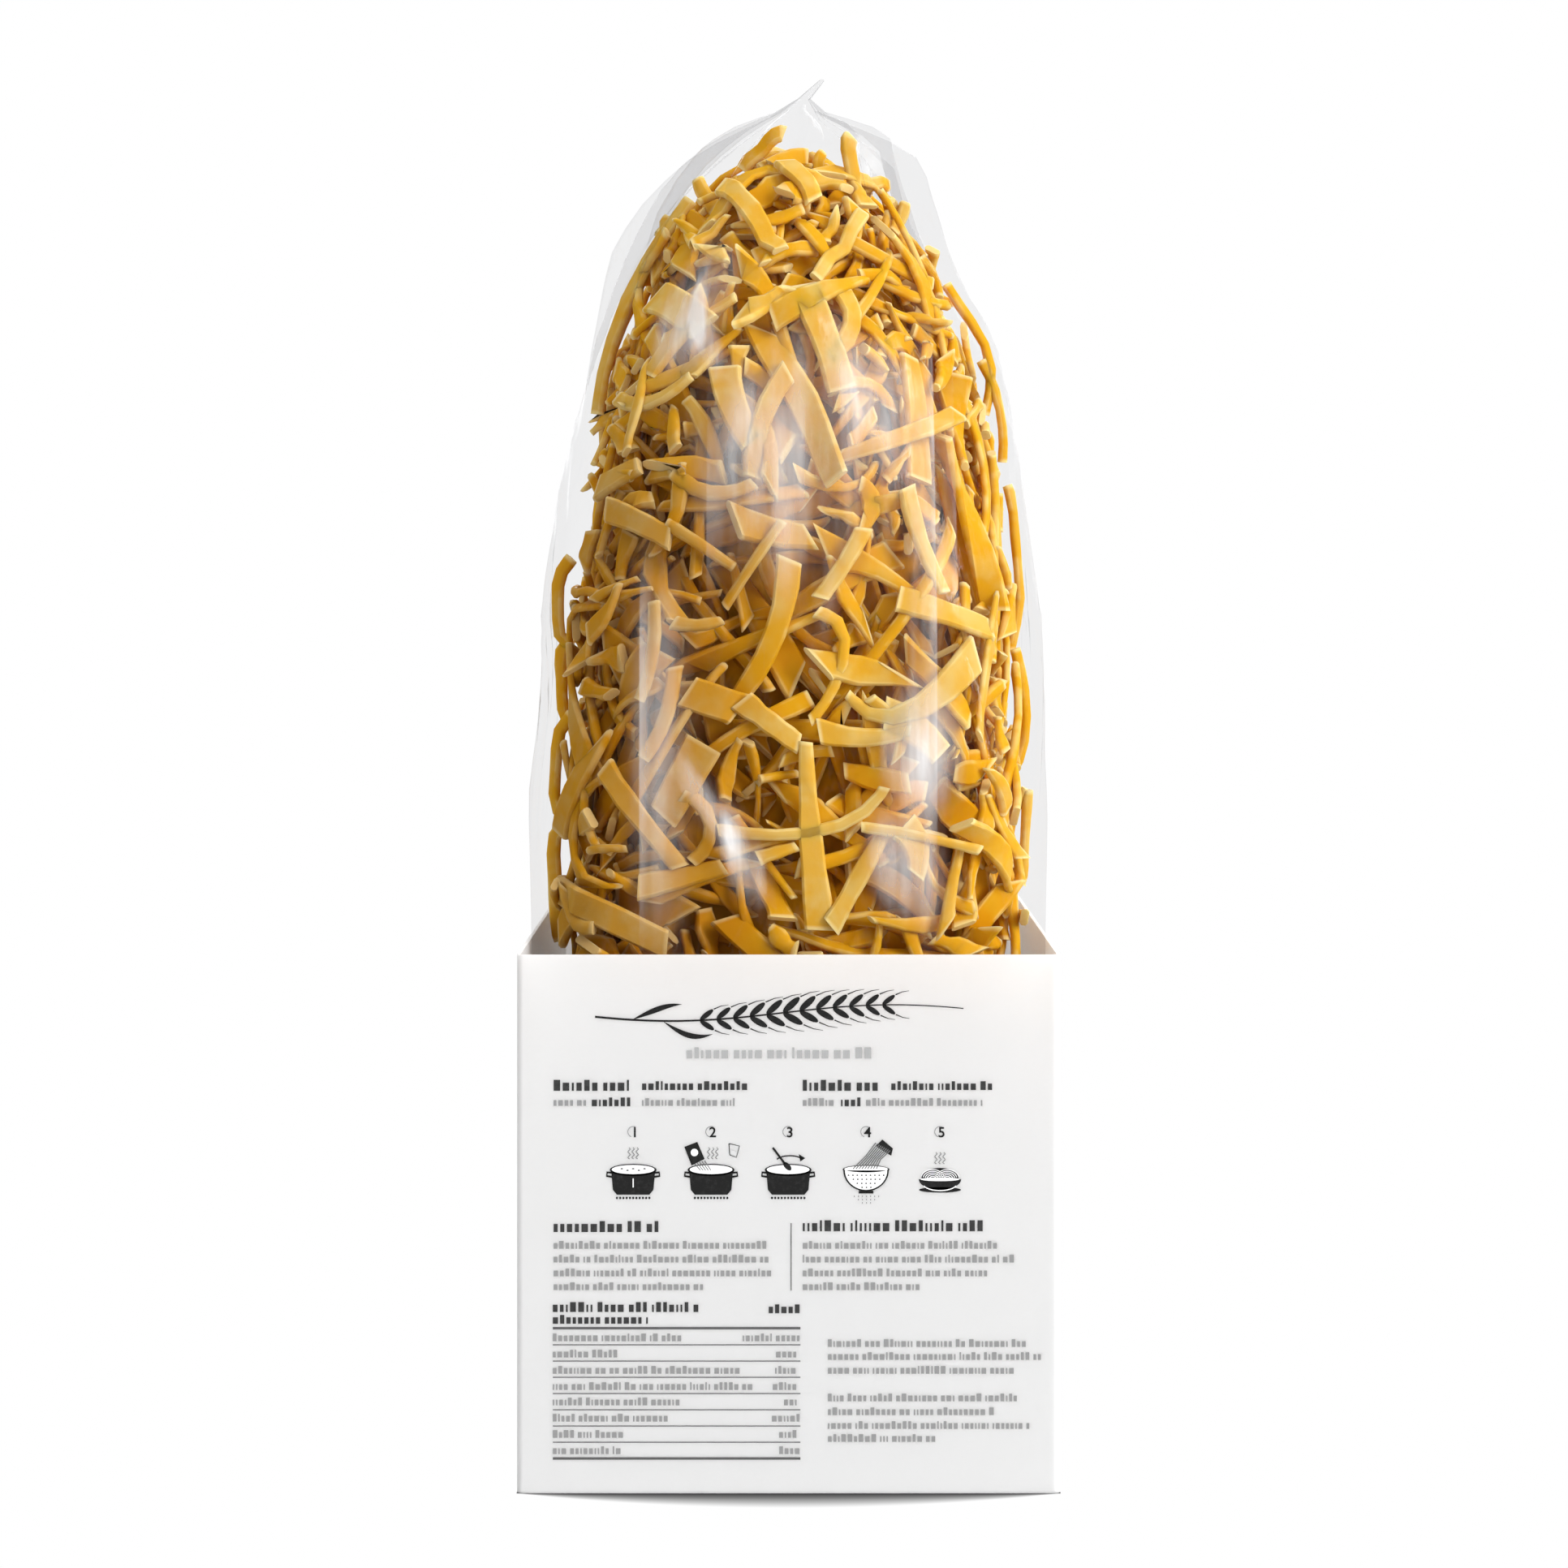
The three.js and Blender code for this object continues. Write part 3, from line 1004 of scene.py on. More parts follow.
def try_to_lay(heap, batch, path, noodle, limit, tint, press=PRESS, force=False):
    """Rests a noodle on what lies under its path, pressed in a little.

    A noodle that would stand over the limit is left out or, with `force`, pressed down to it.
    """
    places, normals, cells = path
    count = len(places)
    if count < 5:
        return False
    share = np.linspace(-1, 1, count)
    curve = noodle.bow * (1 - share * share)
    lift = noodle.thickness / 2 + noodle.width / 2 * abs(math.sin(noodle.roll))
    footprint = []
    breadth = noodle.width / 2 * abs(math.cos(noodle.roll))
    offsets = np.linspace(-0.8, 0.8, 1 + 2 * math.ceil(breadth / (1.7 * MM))) * breadth
    for index in range(count):
        ahead = places[min(count - 1, index + 1)] - places[max(0, index - 1)]
        across = ahead.cross(normals[index]).normalized()
        under = {cells[index]}
        for offset in offsets:
            under.add(heap.nearest(places[index] + across * offset)[2])
        footprint.append(list(under))
    support = np.array([heap.level[under].max() for under in footprint]) - curve
    middle = count // 2
    first, last = int(np.argmax(support[:middle])), middle + int(np.argmax(support[middle:]))
    slope = (support[last] - support[first]) / max(share[last] - share[first], 0.3)
    steepest = STEEPEST * (count - 1) * heap.STEP / 2
    slope = max(-steepest, min(steepest, slope))
    base = (support - slope * share).max() - press
    middle_line = base + slope * share + curve + lift + noodle.pitch * share - 0.6 * abs(noodle.pitch)
    top = (middle_line + lift).max()
    if top > limit:
        if not force:
            return False
        middle_line = np.minimum(middle_line, limit - lift)
    for index, under in enumerate(footprint):
        heap.level[under] = np.maximum(heap.level[under], middle_line[index] + lift)
    depth = PILE * MM - middle_line
    line = [place - normal * d for place, normal, d in zip(places, normals, depth)]
    # Painted shade: what lies deep in the pile is given a darker, browner colour.
    outer = np.clip(middle_line / (PILE * MM), 0, 1) ** DEPTH_SHADE_RATE
    batch.add(line, normals, noodle, outer * (0.55 + 0.45 * tint))
    return True


def random_noodle(chance, kind, settings):
    """One noodle of a kind, with its length and how it bends and sways on its way."""
    thickness = settings.thickness * chance.uniform(0.85, 1.25)
    if kind == "ribbon":
        width = settings.ribbon_width * chance.uniform(0.7, 1.12)
        length = chance.uniform(13, 34) * MM
        roll = chance.gauss(0, 0.28)
        taper = chance.choice((1.0, 0.95, 0.75, 0.5, 0.3))
    elif kind == "shred":
        width = settings.shred_width * chance.uniform(0.75, 1.8)
        thickness *= 0.85
        length = chance.uniform(9, 32) * MM
        roll = chance.gauss(0, 0.45)
        taper = chance.uniform(0.2, 1.0)
    elif kind == "strand":
        width = settings.shred_width * chance.uniform(0.75, 1.1)
        length = chance.uniform(26, 52) * MM
        roll = chance.gauss(0, 0.5)
        taper = chance.uniform(0.8, 1.0)
    else:
        width = settings.ribbon_width * chance.uniform(0.35, 0.9)
        length = chance.uniform(5, 12) * MM
        roll = chance.gauss(0, 0.35)
        taper = chance.uniform(0.1, 0.9)
    noodle = Noodle(
        width,
        thickness,
        taper=taper,
        bow=chance.gauss(0, 0.06) * length,
        roll=roll,
        twist=chance.gauss(0, 1.0),
        cuts=(chance.gauss(0, 1.0), chance.gauss(0, 1.0)),
        ripple=(chance.uniform(0, 0.25), chance.uniform(0, 6.3), chance.uniform(0.5, 1.6)),
        pitch=max(-3.5 * MM, min(3.5 * MM, chance.gauss(0, 0.14) * length)),
    )
    curl = 1.4 if chance.random() < 0.3 else 0.6
    if kind in ("ribbon", "chip"):
        curl *= 0.45
    bend, sway = chance.gauss(0, curl), chance.gauss(0, curl)
    return noodle, length, bend, sway


# The kinds of noodles, with the names of their pieces.
KIND_PIECES = {
    "ribbon": "wide_ribbons",
    "shred": "narrow_shreds",
    "strand": "long_strands",
    "chip": "broken_chips",
}

# Mixtures of noodles: how often each kind comes.
MIXED = {"ribbon": 0.32, "shred": 0.42, "strand": 0.1, "chip": 0.16}
SMALL = {"shred": 0.5, "chip": 0.5}

# Layers of the pile: the mixture, how many noodles are tried, how far under the outer form they stay and how
# far they sink in, both in millimetres, and how many spots are looked at to find a low one.
DEEP_LAYER = (MIXED, 3000, 3.5, 1.0, 4)
OUTER_LAYER = (MIXED, 4200, 0.9, 0.4, 4)
FILLING = (SMALL, 2200, 0.3, 0.3, 8)


def scatter(heap, batches, settings, layer, seed):
    """Drops noodles all over the heap until the attempts are used up, each on the lowest of a few spots."""
    mixture, attempts, under, press, looks = layer
    limit = (PILE - under) * MM
    chance = random.Random(seed)
    kinds = list(mixture)
    weights = list(mixture.values())
    for _ in range(attempts):
        kind = chance.choices(kinds, weights)[0]
        start = heap.low_spot(chance, looks)
        heading = chance.uniform(0, 2 * math.pi)
        # At the sides long noodles run up and down.
        if abs(start.x) > 0.8 * math.hypot(start.x, start.y) and chance.random() < 0.5:
            heading = chance.choice((-1, 1)) * math.pi / 2 + chance.gauss(0, 0.55)
            if kind != "chip" and chance.random() < 0.6:
                kind = "strand"
        noodle, length, bend, sway = random_noodle(chance, kind, settings)
        path = heap.path(start, heading, length, bend, sway)
        uneven = UNEVEN * noise.noise(start * UNEVEN_SCALE)
        try_to_lay(heap, batches[kind], path, noodle, limit + uneven, chance.random(), press * MM)


# Noodles that show plainly at the front, each as the points that it passes in the photograph's frame, its
# width in pixels there, how much of the width is left at its end, and its roll.
FRONT_NOODLES = [
    ([(990, 352), (1040, 474)], 38, 1.0, 0.0),
    ([(800, 362), (835, 378), (866, 402)], 48, 0.9, 0.1),
    ([(850, 395), (822, 425), (798, 462)], 36, 0.7, -0.2),
    ([(760, 490), (800, 495), (850, 462)], 22, 0.6, 0.2),
    ([(735, 600), (760, 585), (785, 572)], 36, 0.8, 0.2),
    ([(1040, 352), (1052, 390), (1022, 440)], 30, 0.6, 0.2),
    ([(1118, 600), (1130, 650), (1165, 730)], 24, 0.7, 0.1),
    ([(890, 450), (900, 492), (925, 545)], 42, 0.7, 0.1),
    ([(1126, 436), (1140, 500), (1150, 582)], 26, 1.5, 0.0),
    ([(889, 224), (926, 258), (958, 304)], 30, 0.8, 0.1),
    ([(1066, 258), (1036, 300), (1005, 342)], 20, 0.9, 0.1),
    ([(962, 196), (985, 215), (1010, 240)], 30, 0.8, 0.0),
    ([(971, 456), (943, 503), (927, 588)], 27, 0.9, 0.3),
    ([(830, 580), (874, 607), (929, 595)], 22, 0.7, 0.2),
    ([(748, 628), (790, 645), (826, 664)], 34, 0.8, 0.0),
    ([(972, 688), (955, 779), (909, 859)], 32, 0.75, 0.0),
    ([(1006, 754), (1038, 776), (1040, 810), (998, 888)], 15, 0.9, 0.1),
    ([(1107, 737), (1160, 752), (1222, 775)], 34, 0.9, 0.2),
    ([(1202, 806), (1148, 862), (1099, 884), (1044, 855)], 46, 0.25, 0.0),
    ([(846, 852), (880, 864), (910, 874)], 42, 1.0, 0.05),
    ([(913, 863), (948, 890), (985, 917)], 30, 0.8, 0.0),
    ([(1008, 900), (1069, 909), (1122, 900)], 31, 0.5, 0.0),
    ([(993, 914), (998, 1019), (1012, 1146)], 17, 2.3, 0.0),
    ([(1024, 1142), (1056, 1086), (1090, 1026)], 25, 0.8, 0.1),
    ([(741, 945), (783, 1002), (838, 1069)], 27, 0.8, 0.1),
    ([(786, 1094), (829, 1084), (892, 1068)], 33, 0.6, 0.2),
    ([(867, 916), (843, 960), (817, 1006)], 50, 0.8, -0.1),
    ([(840, 980), (874, 1008), (872, 1040), (852, 1062)], 20, 0.8, 0.1),
    ([(684, 1106), (750, 1130), (822, 1165)], 38, 0.9, 0.0),
    ([(804, 741), (806, 779), (787, 863)], 16, 0.9, 0.1),
    ([(829, 822), (825, 867), (792, 935)], 20, 0.9, 0.1),
    ([(829, 767), (860, 770), (889, 764)], 18, 0.6, 0.2),
    ([(1065, 650), (1040, 695), (1010, 737)], 22, 0.9, 0.0),
    ([(884, 1023), (1000, 1026), (1060, 1004), (1090, 970)], 16, 0.9, 0.0),
    ([(1061, 1019), (1130, 1030), (1208, 1048)], 14, 0.9, 0.0),
    ([(934, 1058), (958, 1050), (982, 1043)], 20, 0.6, 0.3),
    ([(719, 1048), (745, 1045), (772, 1046)], 11, 0.8, 0.6),
    ([(936, 960), (958, 956), (982, 953)], 11, 0.8, 0.6),
    ([(822, 645), (865, 672), (903, 696)], 15, 0.9, 0.0),
    ([(964, 642), (930, 690), (893, 745)], 13, 0.9, 0.0),
    ([(1113, 1018), (1130, 1045), (1128, 1078)], 40, 0.6, 0.2),
    ([(1090, 880), (1130, 900), (1160, 930)], 44, 0.7, 0.1),
]


def lay_front_noodles(heap, batches, settings, limit):
    """Lays the noodles that show plainly on top of the scattered ones."""
    chance = random.Random(settings.seed + 40)
    for points, width, taper, roll in FRONT_NOODLES:
        path = heap.path_through([heap.aim(*point) for point in points])
        noodle = Noodle(
            width / FRONT_PIXELS * MM,
            settings.thickness * chance.uniform(1.0, 1.25),
            taper=taper,
            bow=chance.uniform(0, 0.6) * MM,
            roll=roll,
            twist=chance.uniform(-0.2, 0.3),
            cuts=(chance.uniform(-0.5, 0.5), chance.uniform(-0.5, 0.5)),
        )
        kind = "ribbon" if width > 25 else "shred"
        try_to_lay(heap, batches[kind], path, noodle, limit, chance.uniform(0.5, 1.0), force=True)


# Strands that stand clear of the heap at its sides and top: the points in the photograph's frame, the width
# in pixels and how far in front of the pack's middle they are, in millimetres.
LOOSE_STRANDS = [
    ([(971, 163), (940, 178), (915, 206)], 22, 12),
    ([(1058, 238), (1078, 226), (1099, 219)], 17, 8),
    ([(884, 262), (868, 240), (860, 219)], 20, 8),
    ([(940, 214), (968, 198), (992, 190)], 26, 12),
    ([(1012, 232), (1008, 205), (1013, 186)], 15, 10),
    ([(835, 300), (822, 282), (816, 262)], 18, 6),
    ([(1100, 290), (1112, 268), (1116, 248)], 16, 6),
    ([(1041, 161), (1049, 205), (1063, 262)], 20, 14),
    ([(853, 250), (790, 330), (757, 420), (734, 508)], 21, 6),
    ([(705, 690), (682, 726), (678, 768), (703, 795)], 19, 4),
    ([(703, 790), (688, 815), (685, 850), (700, 890)], 17, 0),
    ([(706, 880), (677, 930), (676, 975), (703, 1020)], 18, 5),
    ([(703, 1010), (674, 1050), (670, 1095), (690, 1160)], 19, 3),
    ([(1263, 972), (1246, 1010), (1243, 1050), (1258, 1086)], 14, 8),
    ([(1271, 974), (1280, 1012), (1278, 1050), (1260, 1086)], 14, 8),
    ([(1175, 345), (1208, 400), (1222, 450), (1214, 510)], 13, 4),
    ([(1208, 446), (1232, 505), (1236, 568)], 12, 2),
    ([(1240, 600), (1256, 660), (1258, 730), (1246, 800)], 13, 3),
    ([(1250, 800), (1262, 870), (1262, 925), (1240, 960)], 13, 5),
]


def at_depth(px, py, front):
    """The place at a point of the photograph's frame, that many millimetres in front of the middle."""
    distance = -front * MM - EYE.y
    half = FRAME_SIDE / 2
    return EYE + Vector((px - half, FOCAL_PIXELS, half - py)) * (distance / FOCAL_PIXELS)


def lay_loose_strands(batch, settings):
    """Adds the strands that stand clear, each as a smooth curve through its points."""
    chance = random.Random(settings.seed + 80)
    for points, width, front in LOOSE_STRANDS:
        table = np.array([at_depth(px, py, front) for px, py in points])
        share = np.linspace(0, 1, len(points))
        at = np.linspace(0, 1, 14)
        line = np.stack([np.polyval(np.polyfit(share, table[:, k], 2), at) for k in range(3)], 1)
        line[:, 1] += np.linspace(-2, 2, len(at)) * MM
        line = [Vector(p) for p in line]
        normals = [Vector((math.copysign(0.6, p.x), -1, 0)).normalized() for p in line]
        roll = chance.uniform(-0.3, 0.3)
        noodle = Noodle(width / SIDE_PIXELS * MM, settings.thickness * 1.1, taper=0.9, roll=roll)
        batch.add(line, normals, noodle, 0.5 + 0.4 * chance.random())


def sweep_tree(name):
    """Geometry nodes that sweep a flat section with bevelled edges along each line."""
    tree = bpy.data.node_groups.new(name, "GeometryNodeTree")
    face = tree.interface
    face.new_socket("Geometry", in_out="INPUT", socket_type="NodeSocketGeometry")
    for label, value in (("Edge rounding", 0.42 * MM), ("Unevenness", 0.7 * MM), ("Unevenness scale", 330.0)):
        socket = face.new_socket(label, in_out="INPUT", socket_type="NodeSocketFloat")
        socket.default_value = value
    face.new_socket("Material", in_out="INPUT", socket_type="NodeSocketMaterial")
    face.new_socket("Geometry", in_out="OUTPUT", socket_type="NodeSocketGeometry")

    nodes = Shaping(tree)
    given = nodes.node("NodeGroupInput")
    position = nodes.out(nodes.node("GeometryNodeInputPosition"), "Position")
    tangent = nodes.out(nodes.node("GeometryNodeInputTangent"), "Tangent")
    half = nodes.named("half")
    line = nodes.named("line", "FLOAT_VECTOR")
    on_circle = nodes.named("section", "FLOAT_VECTOR")

    # A circle of eight points is swept along the lines.
    curves = nodes.node("GeometryNodeMeshToCurve", Mesh=nodes.out(given, "Geometry"))
    curves = nodes.store(nodes.out(curves, "Curve"), "line", position, "FLOAT_VECTOR")
    curves = nodes.store(curves, "along", tangent, "FLOAT_VECTOR")
    circle = nodes.node("GeometryNodeCurvePrimitiveCircle", {"mode": "RADIUS"}, Resolution=8, Radius=1.0)
    circle = nodes.out(circle, "Curve")
    turned = nodes.node("GeometryNodeTransform", Geometry=circle, Rotation=(0, 0, math.pi / 8))
    section = nodes.store(nodes.out(turned, "Geometry"), "section", position, "FLOAT_VECTOR")
    swept = nodes.node("GeometryNodeCurveToMesh", Curve=curves, Profile_Curve=section, Fill_Caps=True)

    # Its points then move to the noodle's own section: four lie on its faces, and four on its narrow sides.
    out_x, out_y, _ = nodes.axes(on_circle)
    flat = nodes.math("GREATER_THAN", abs(out_y), 0.7)
    wobble = nodes.noise(line, nodes.out(given, "Unevenness scale"), 1.0)
    ragged = (wobble - 0.5) * nodes.out(given, "Unevenness")
    reach = half - flat * nodes.out(given, "Edge rounding") + ragged
    across = nodes.math("SIGN", out_x) * nodes.math("MAXIMUM", reach, 0.15 * MM)
    depth = nodes.math("SIGN", out_y) * (nodes.named("thick") * (0.24 + flat * 0.26))
    moved = nodes.total(
        nodes.scaled(nodes.named("side", "FLOAT_VECTOR"), across),
        nodes.scaled(nodes.named("up", "FLOAT_VECTOR"), depth),
        nodes.scaled(nodes.named("along", "FLOAT_VECTOR"), nodes.named("cut") * across),
        line,
    )
    placed = nodes.node("GeometryNodeSetPosition", Geometry=nodes.out(swept, "Mesh"), Position=moved)
    placed = nodes.store(nodes.out(placed, "Geometry"), "across", nodes.math("SIGN", out_x))

    # Cut ends are crisp, and so are the long borders of the faces of wide noodles.
    on_point = nodes.math("GREATER_THAN", nodes.length(on_circle), 0.97)
    border = on_point * nodes.math("GREATER_THAN", flat, 0.9)
    border = border * nodes.math("GREATER_THAN", half, 1.6 * MM)
    end = nodes.math("LESS_THAN", nodes.named("tip"), 0.01 * MM)
    border = nodes.math("MAXIMUM", border, end)
    crisp = nodes.store(placed, "sharp_edge", border, "BOOLEAN", "EDGE")
    shaded = nodes.node("GeometryNodeSetShadeSmooth", Geometry=crisp)
    real = nodes.node("GeometryNodeRealizeInstances", Geometry=nodes.out(shaded, "Geometry"))
    coloured = nodes.node(
        "GeometryNodeSetMaterial",
        Geometry=nodes.out(real, "Geometry"),
        Material=nodes.out(given, "Material"),
    )
    nodes.feed(nodes.node("NodeGroupOutput").inputs[0], nodes.out(coloured, "Geometry"))
    return tree


def swept_noodles(batch, tree, material):
    """Sweeps a batch of lines into a plain mesh of noodles."""
    lines = bpy.data.objects.new(batch.name + "_lines", batch.mesh())
    bpy.context.scene.collection.objects.link(lines)
    modifier = lines.modifiers.new("sweep", "NODES")
    modifier.node_group = tree
    for item in tree.interface.items_tree:
        if item.in_out == "INPUT" and item.name == "Material":
            modifier[item.identifier] = material
    bpy.context.view_layer.update()
    graph = bpy.context.evaluated_depsgraph_get()
    mesh = bpy.data.meshes.new_from_object(lines.evaluated_get(graph), depsgraph=graph)
    lines.modifiers.clear()
    bpy.data.objects.remove(lines)
    mesh.name = batch.name
    for spent in ("line", "along", "section", "up", "side", "half", "thick", "cut"):
        if spent in mesh.attributes:
            mesh.attributes.remove(mesh.attributes[spent])
    solid = bmesh.new()
    solid.from_mesh(mesh)
    bmesh.ops.recalc_face_normals(solid, faces=solid.faces)
    solid.to_mesh(mesh)
    solid.free()
    return mesh


DOUGH_SHINE = 0.03  # dry dough hardly shines


def noodle_material(settings):
    """Egg dough: golden and a little mottled on its faces, with painted shade deep in the pile and on the
    left, and a painted highlight that makes it pale where it was cut.
    """
    paint = Paint("egg_dough")
    place = paint.place()
    tint = paint.attribute("tint")
    mottle = paint.noise(place, 200, 2, 0.5)
    speck = paint.noise(place, 1500, 2, 0.5)
    # Painted highlight: the cut ends, and patches of the long sides, are paler, as if catching the light.
    cut_end = 1 - paint.step(paint.attribute("tip"), 0.2 * MM, 1.0 * MM)
    side = paint.step(abs(paint.attribute("across")), 0.75, 1.0)
    cut_side = side * paint.step(mottle, 0.4, 0.66) * 0.4
    highlit = paint.math("MAXIMUM", cut_end * 0.8, cut_side)
    # Painted shade: the tint holds each noodle's depth in the pile with a random tone, and low values take
    # darker colours.
    shade = paint.math("ADD", tint * 0.8, paint.step(mottle, 0.35, 0.7) * 0.3 - 0.05, clamp=True)
    colour = paint.mix(paint.step(shade, 0.0, 0.5), settings.browned, settings.dough)
    colour = paint.mix(paint.step(shade, 0.4, 1.1), colour, settings.pale)
    # The photograph's left half lies in a soft shade.
    x, y, z = paint.axes(place)
    shaded = 1 - paint.step(x, -13 * MM, 3 * MM)
    shaded = shaded * (1 - paint.step(z, 170 * MM, 205 * MM)) * paint.step(-y, 0.0, 20 * MM)
    colour = paint.mix(highlit * (0.65 + 0.35 * speck), colour, settings.cut)
    colour = paint.mix(shaded * 0.45, colour, settings.shaded)
    shader = paint.principled(
        Base_Color=colour,
        Roughness=0.42 + 0.2 * mottle,
        Specular_IOR_Level=DOUGH_SHINE,
        Normal=paint.bump(mottle + 0.08 * speck, 0.4, 0.6 * MM),
        Subsurface_Weight=0.45,
        Subsurface_Radius=(1.0, 1.0, 0.8),
        Subsurface_Scale=1.8 * MM,
    )
    return paint.finish(shader)


def core_material(settings):
    """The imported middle, seen only as the dark between the noodles."""
    paint = Paint("packed_dough")
    place = paint.place()
    grain = paint.noise(paint.stretched(place, (1, 1, 0.6)), 170, 3, 0.6)
    # Painted shade: the middle takes the deep-shade colour, darkened further, for the shade in the gaps
    # between noodles.
    dark = [c * 0.6 for c in settings.browned]
    light = [c * 0.95 for c in settings.browned]
    shader = paint.principled(
        Base_Color=paint.mix(paint.step(grain, 0.4, 0.65), dark, light),
        Roughness=0.7,
        Specular_IOR_Level=DOUGH_SHINE,
        Normal=paint.bump(grain, 0.8, 1.5 * MM),
    )
    return paint.finish(shader)


def core_mesh(heap):
    """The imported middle: the heap's form, PILE smaller, down to the bottom of the bag."""
    floor = BAG_LOW.z + 2 * MM
    rings = [[Vector((p.x, p.y, floor)) for p in heap.ring(0, PILE)]]
    for row in range(0, heap.rows + 1, 2):
        if heap.ring_half[row] - PILE < 3:
            break
        ring = heap.ring(row, PILE)
        for point in ring:
            outward = Vector((point.x, point.y, 0)).normalized()
            point += outward * noise.noise(point * 170) * 1.1 * MM
        rings.append(ring)
    columns = heap.COLUMNS
    vertices = [point for ring in rings for point in ring]
    faces = band_faces(len(rings), columns)
    for ring, flip in ((0, True), (len(rings) - 1, False)):
        centre = len(vertices)
        points = rings[ring]
        vertices.append(sum(points, Vector()) / columns)
        for column in range(columns):
            following = (column + 1) % columns
            a, b = ring * columns + column, ring * columns + following
            faces.append((b, a, centre) if flip else (a, b, centre))
    mesh = mesh_from("packed_middle", vertices, faces)
    mesh.shade_smooth()
    return mesh


class NOODLEPACK_OT_noodles(bpy.types.Operator):
    """Pile the noodles under the film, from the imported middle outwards"""

    bl_idname = "noodle_pack.noodles"
    bl_label = "Noodles"

    def execute(self, context):
        settings = context.scene.noodle_dough
        heap = Heap()
        bag = BagInside()
        batches = {kind: Batch(name, bag) for kind, name in KIND_PIECES.items()}
        scatter(heap, batches, settings, DEEP_LAYER, settings.seed)
        scatter(heap, batches, settings, OUTER_LAYER, settings.seed + 2)
        lay_front_noodles(heap, batches, settings, (PILE + 0.6) * MM)
        scatter(heap, batches, settings, FILLING, settings.seed + 1)
        lay_loose_strands(batches["strand"], settings)
        material = noodle_material(settings)
        tree = sweep_tree("sweep_noodles")
        for batch in batches.values():
            mesh = swept_noodles(batch, tree, material)
            new_piece(batch.name, mesh, material, ["film_bag"])
        new_piece("packed_middle", core_mesh(heap), core_material(settings), ["film_bag"])
        return {"FINISHED"}


# ---------------------------------------------------------------- film


def film_mesh(settings):
    """The bag's own form as a skin, with small creases pressed into it above the box."""
    source = bmesh.new()
    source.from_mesh(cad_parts["film_bag"].data)
    bmesh.ops.remove_doubles(source, verts=source.verts, dist=0.002 * MM)
    bmesh.ops.subdivide_edges(source, edges=source.edges, cuts=1, use_grid_fill=True)
    source.normal_update()
    top = BOX_HIGH.z
    moves = []
    for vertex in source.verts:
        place = vertex.co
        clear_of_box = smooth_share(top, top + 40 * MM, place.z)
        loose = clear_of_box * smooth_share(BAG_HIGH.z - 4 * MM, BAG_HIGH.z - 22 * MM, place.z)
        ridge = 1 - abs(noise.noise(Vector((place.x * 70, place.y * 70, place.z * 26)))) * 2
        fine = noise.noise(Vector((place.x * 260, place.y * 260, place.z * 120)))
        depth = settings.crinkle * loose * (0.8 * (1 - ridge**4) + 0.3 * abs(fine))
        moves.append(-vertex.normal * depth)
    for vertex, move in zip(source.verts, moves):
        vertex.co += move
    sheen = source.verts.layers.float.new("sheen")
    for vertex in source.verts:
        vertex[sheen] = sheen_at(vertex.co)
    mesh = bpy.data.meshes.new("film_skin")
    source.to_mesh(mesh)
    source.free()
    mesh.shade_smooth()
    return mesh


# Where the front of the film shines white: across, up, half width and half height in millimetres, lean in
# degrees and how white.
SHEENS = [
    (3.0, 181.0, 13.0, 17.0, 0, 0.26),
    (13.0, 189.0, 5.0, 9.0, 0, 0.26),
    (24.0, 150.0, 2.0, 40.0, 0, 0.12),
    (23.6, 130.0, 4.5, 8.0, 0, 0.5),
    (21.0, 109.0, 4.5, 7.0, 20, 0.32),
    (-17.0, 209.0, 4.0, 8.0, -25, 0.45),
    (-14.5, 203.0, 1.6, 6.0, 25, 0.5),
    (-23.0, 130.0, 4.0, 26.0, 0, 0.1),
    (-12.0, 117.0, 1.6, 9.0, 32, 0.42),
    (-8.0, 111.0, 2.2, 6.0, 15, 0.34),
    (-8.0, 181.0, 2.0, 12.0, 0, 0.2),
    (7.0, 156.0, 1.2, 9.0, -12, 0.25),
    (14.9, 241.5, 1.5, 3.5, 15, 0.5),
]
SHEEN_REACH = 1.9  # how far past its half size a reflection fades out

# Painted reflections where folds of the film catch the light, as white bands with one sharp side: where that
# side is, which way the band fades and how far, the middle and half height, and how white it is.
BANDS = [
    (-26.3, 1, 3.5, 128.0, 34.0, 0.14),
    (-14.6, 1, 2.5, 176.0, 22.0, 0.05),
    (26.2, -1, 3.0, 158.0, 48.0, 0.24),
    (30.0, -1, 2.0, 175.0, 22.0, 0.1),
]


def sheen_at(place):
    """How white the film's broad reflections are at a place."""
    total = 0.0
    for across, up, half_width, half_height, lean, white in SHEENS:
        dx, dz = place.x / MM - across, place.z / MM - up
        cosine, sine = math.cos(math.radians(lean)), math.sin(math.radians(lean))
        wide, high = dx * cosine + dz * sine, dz * cosine - dx * sine
        far = ((wide / half_width) ** 2 + (high / half_height) ** 2) / SHEEN_REACH**2
        total += white * max(0.0, 1 - far) ** 2
    return total * smooth_share(5, 25, -place.y / MM)


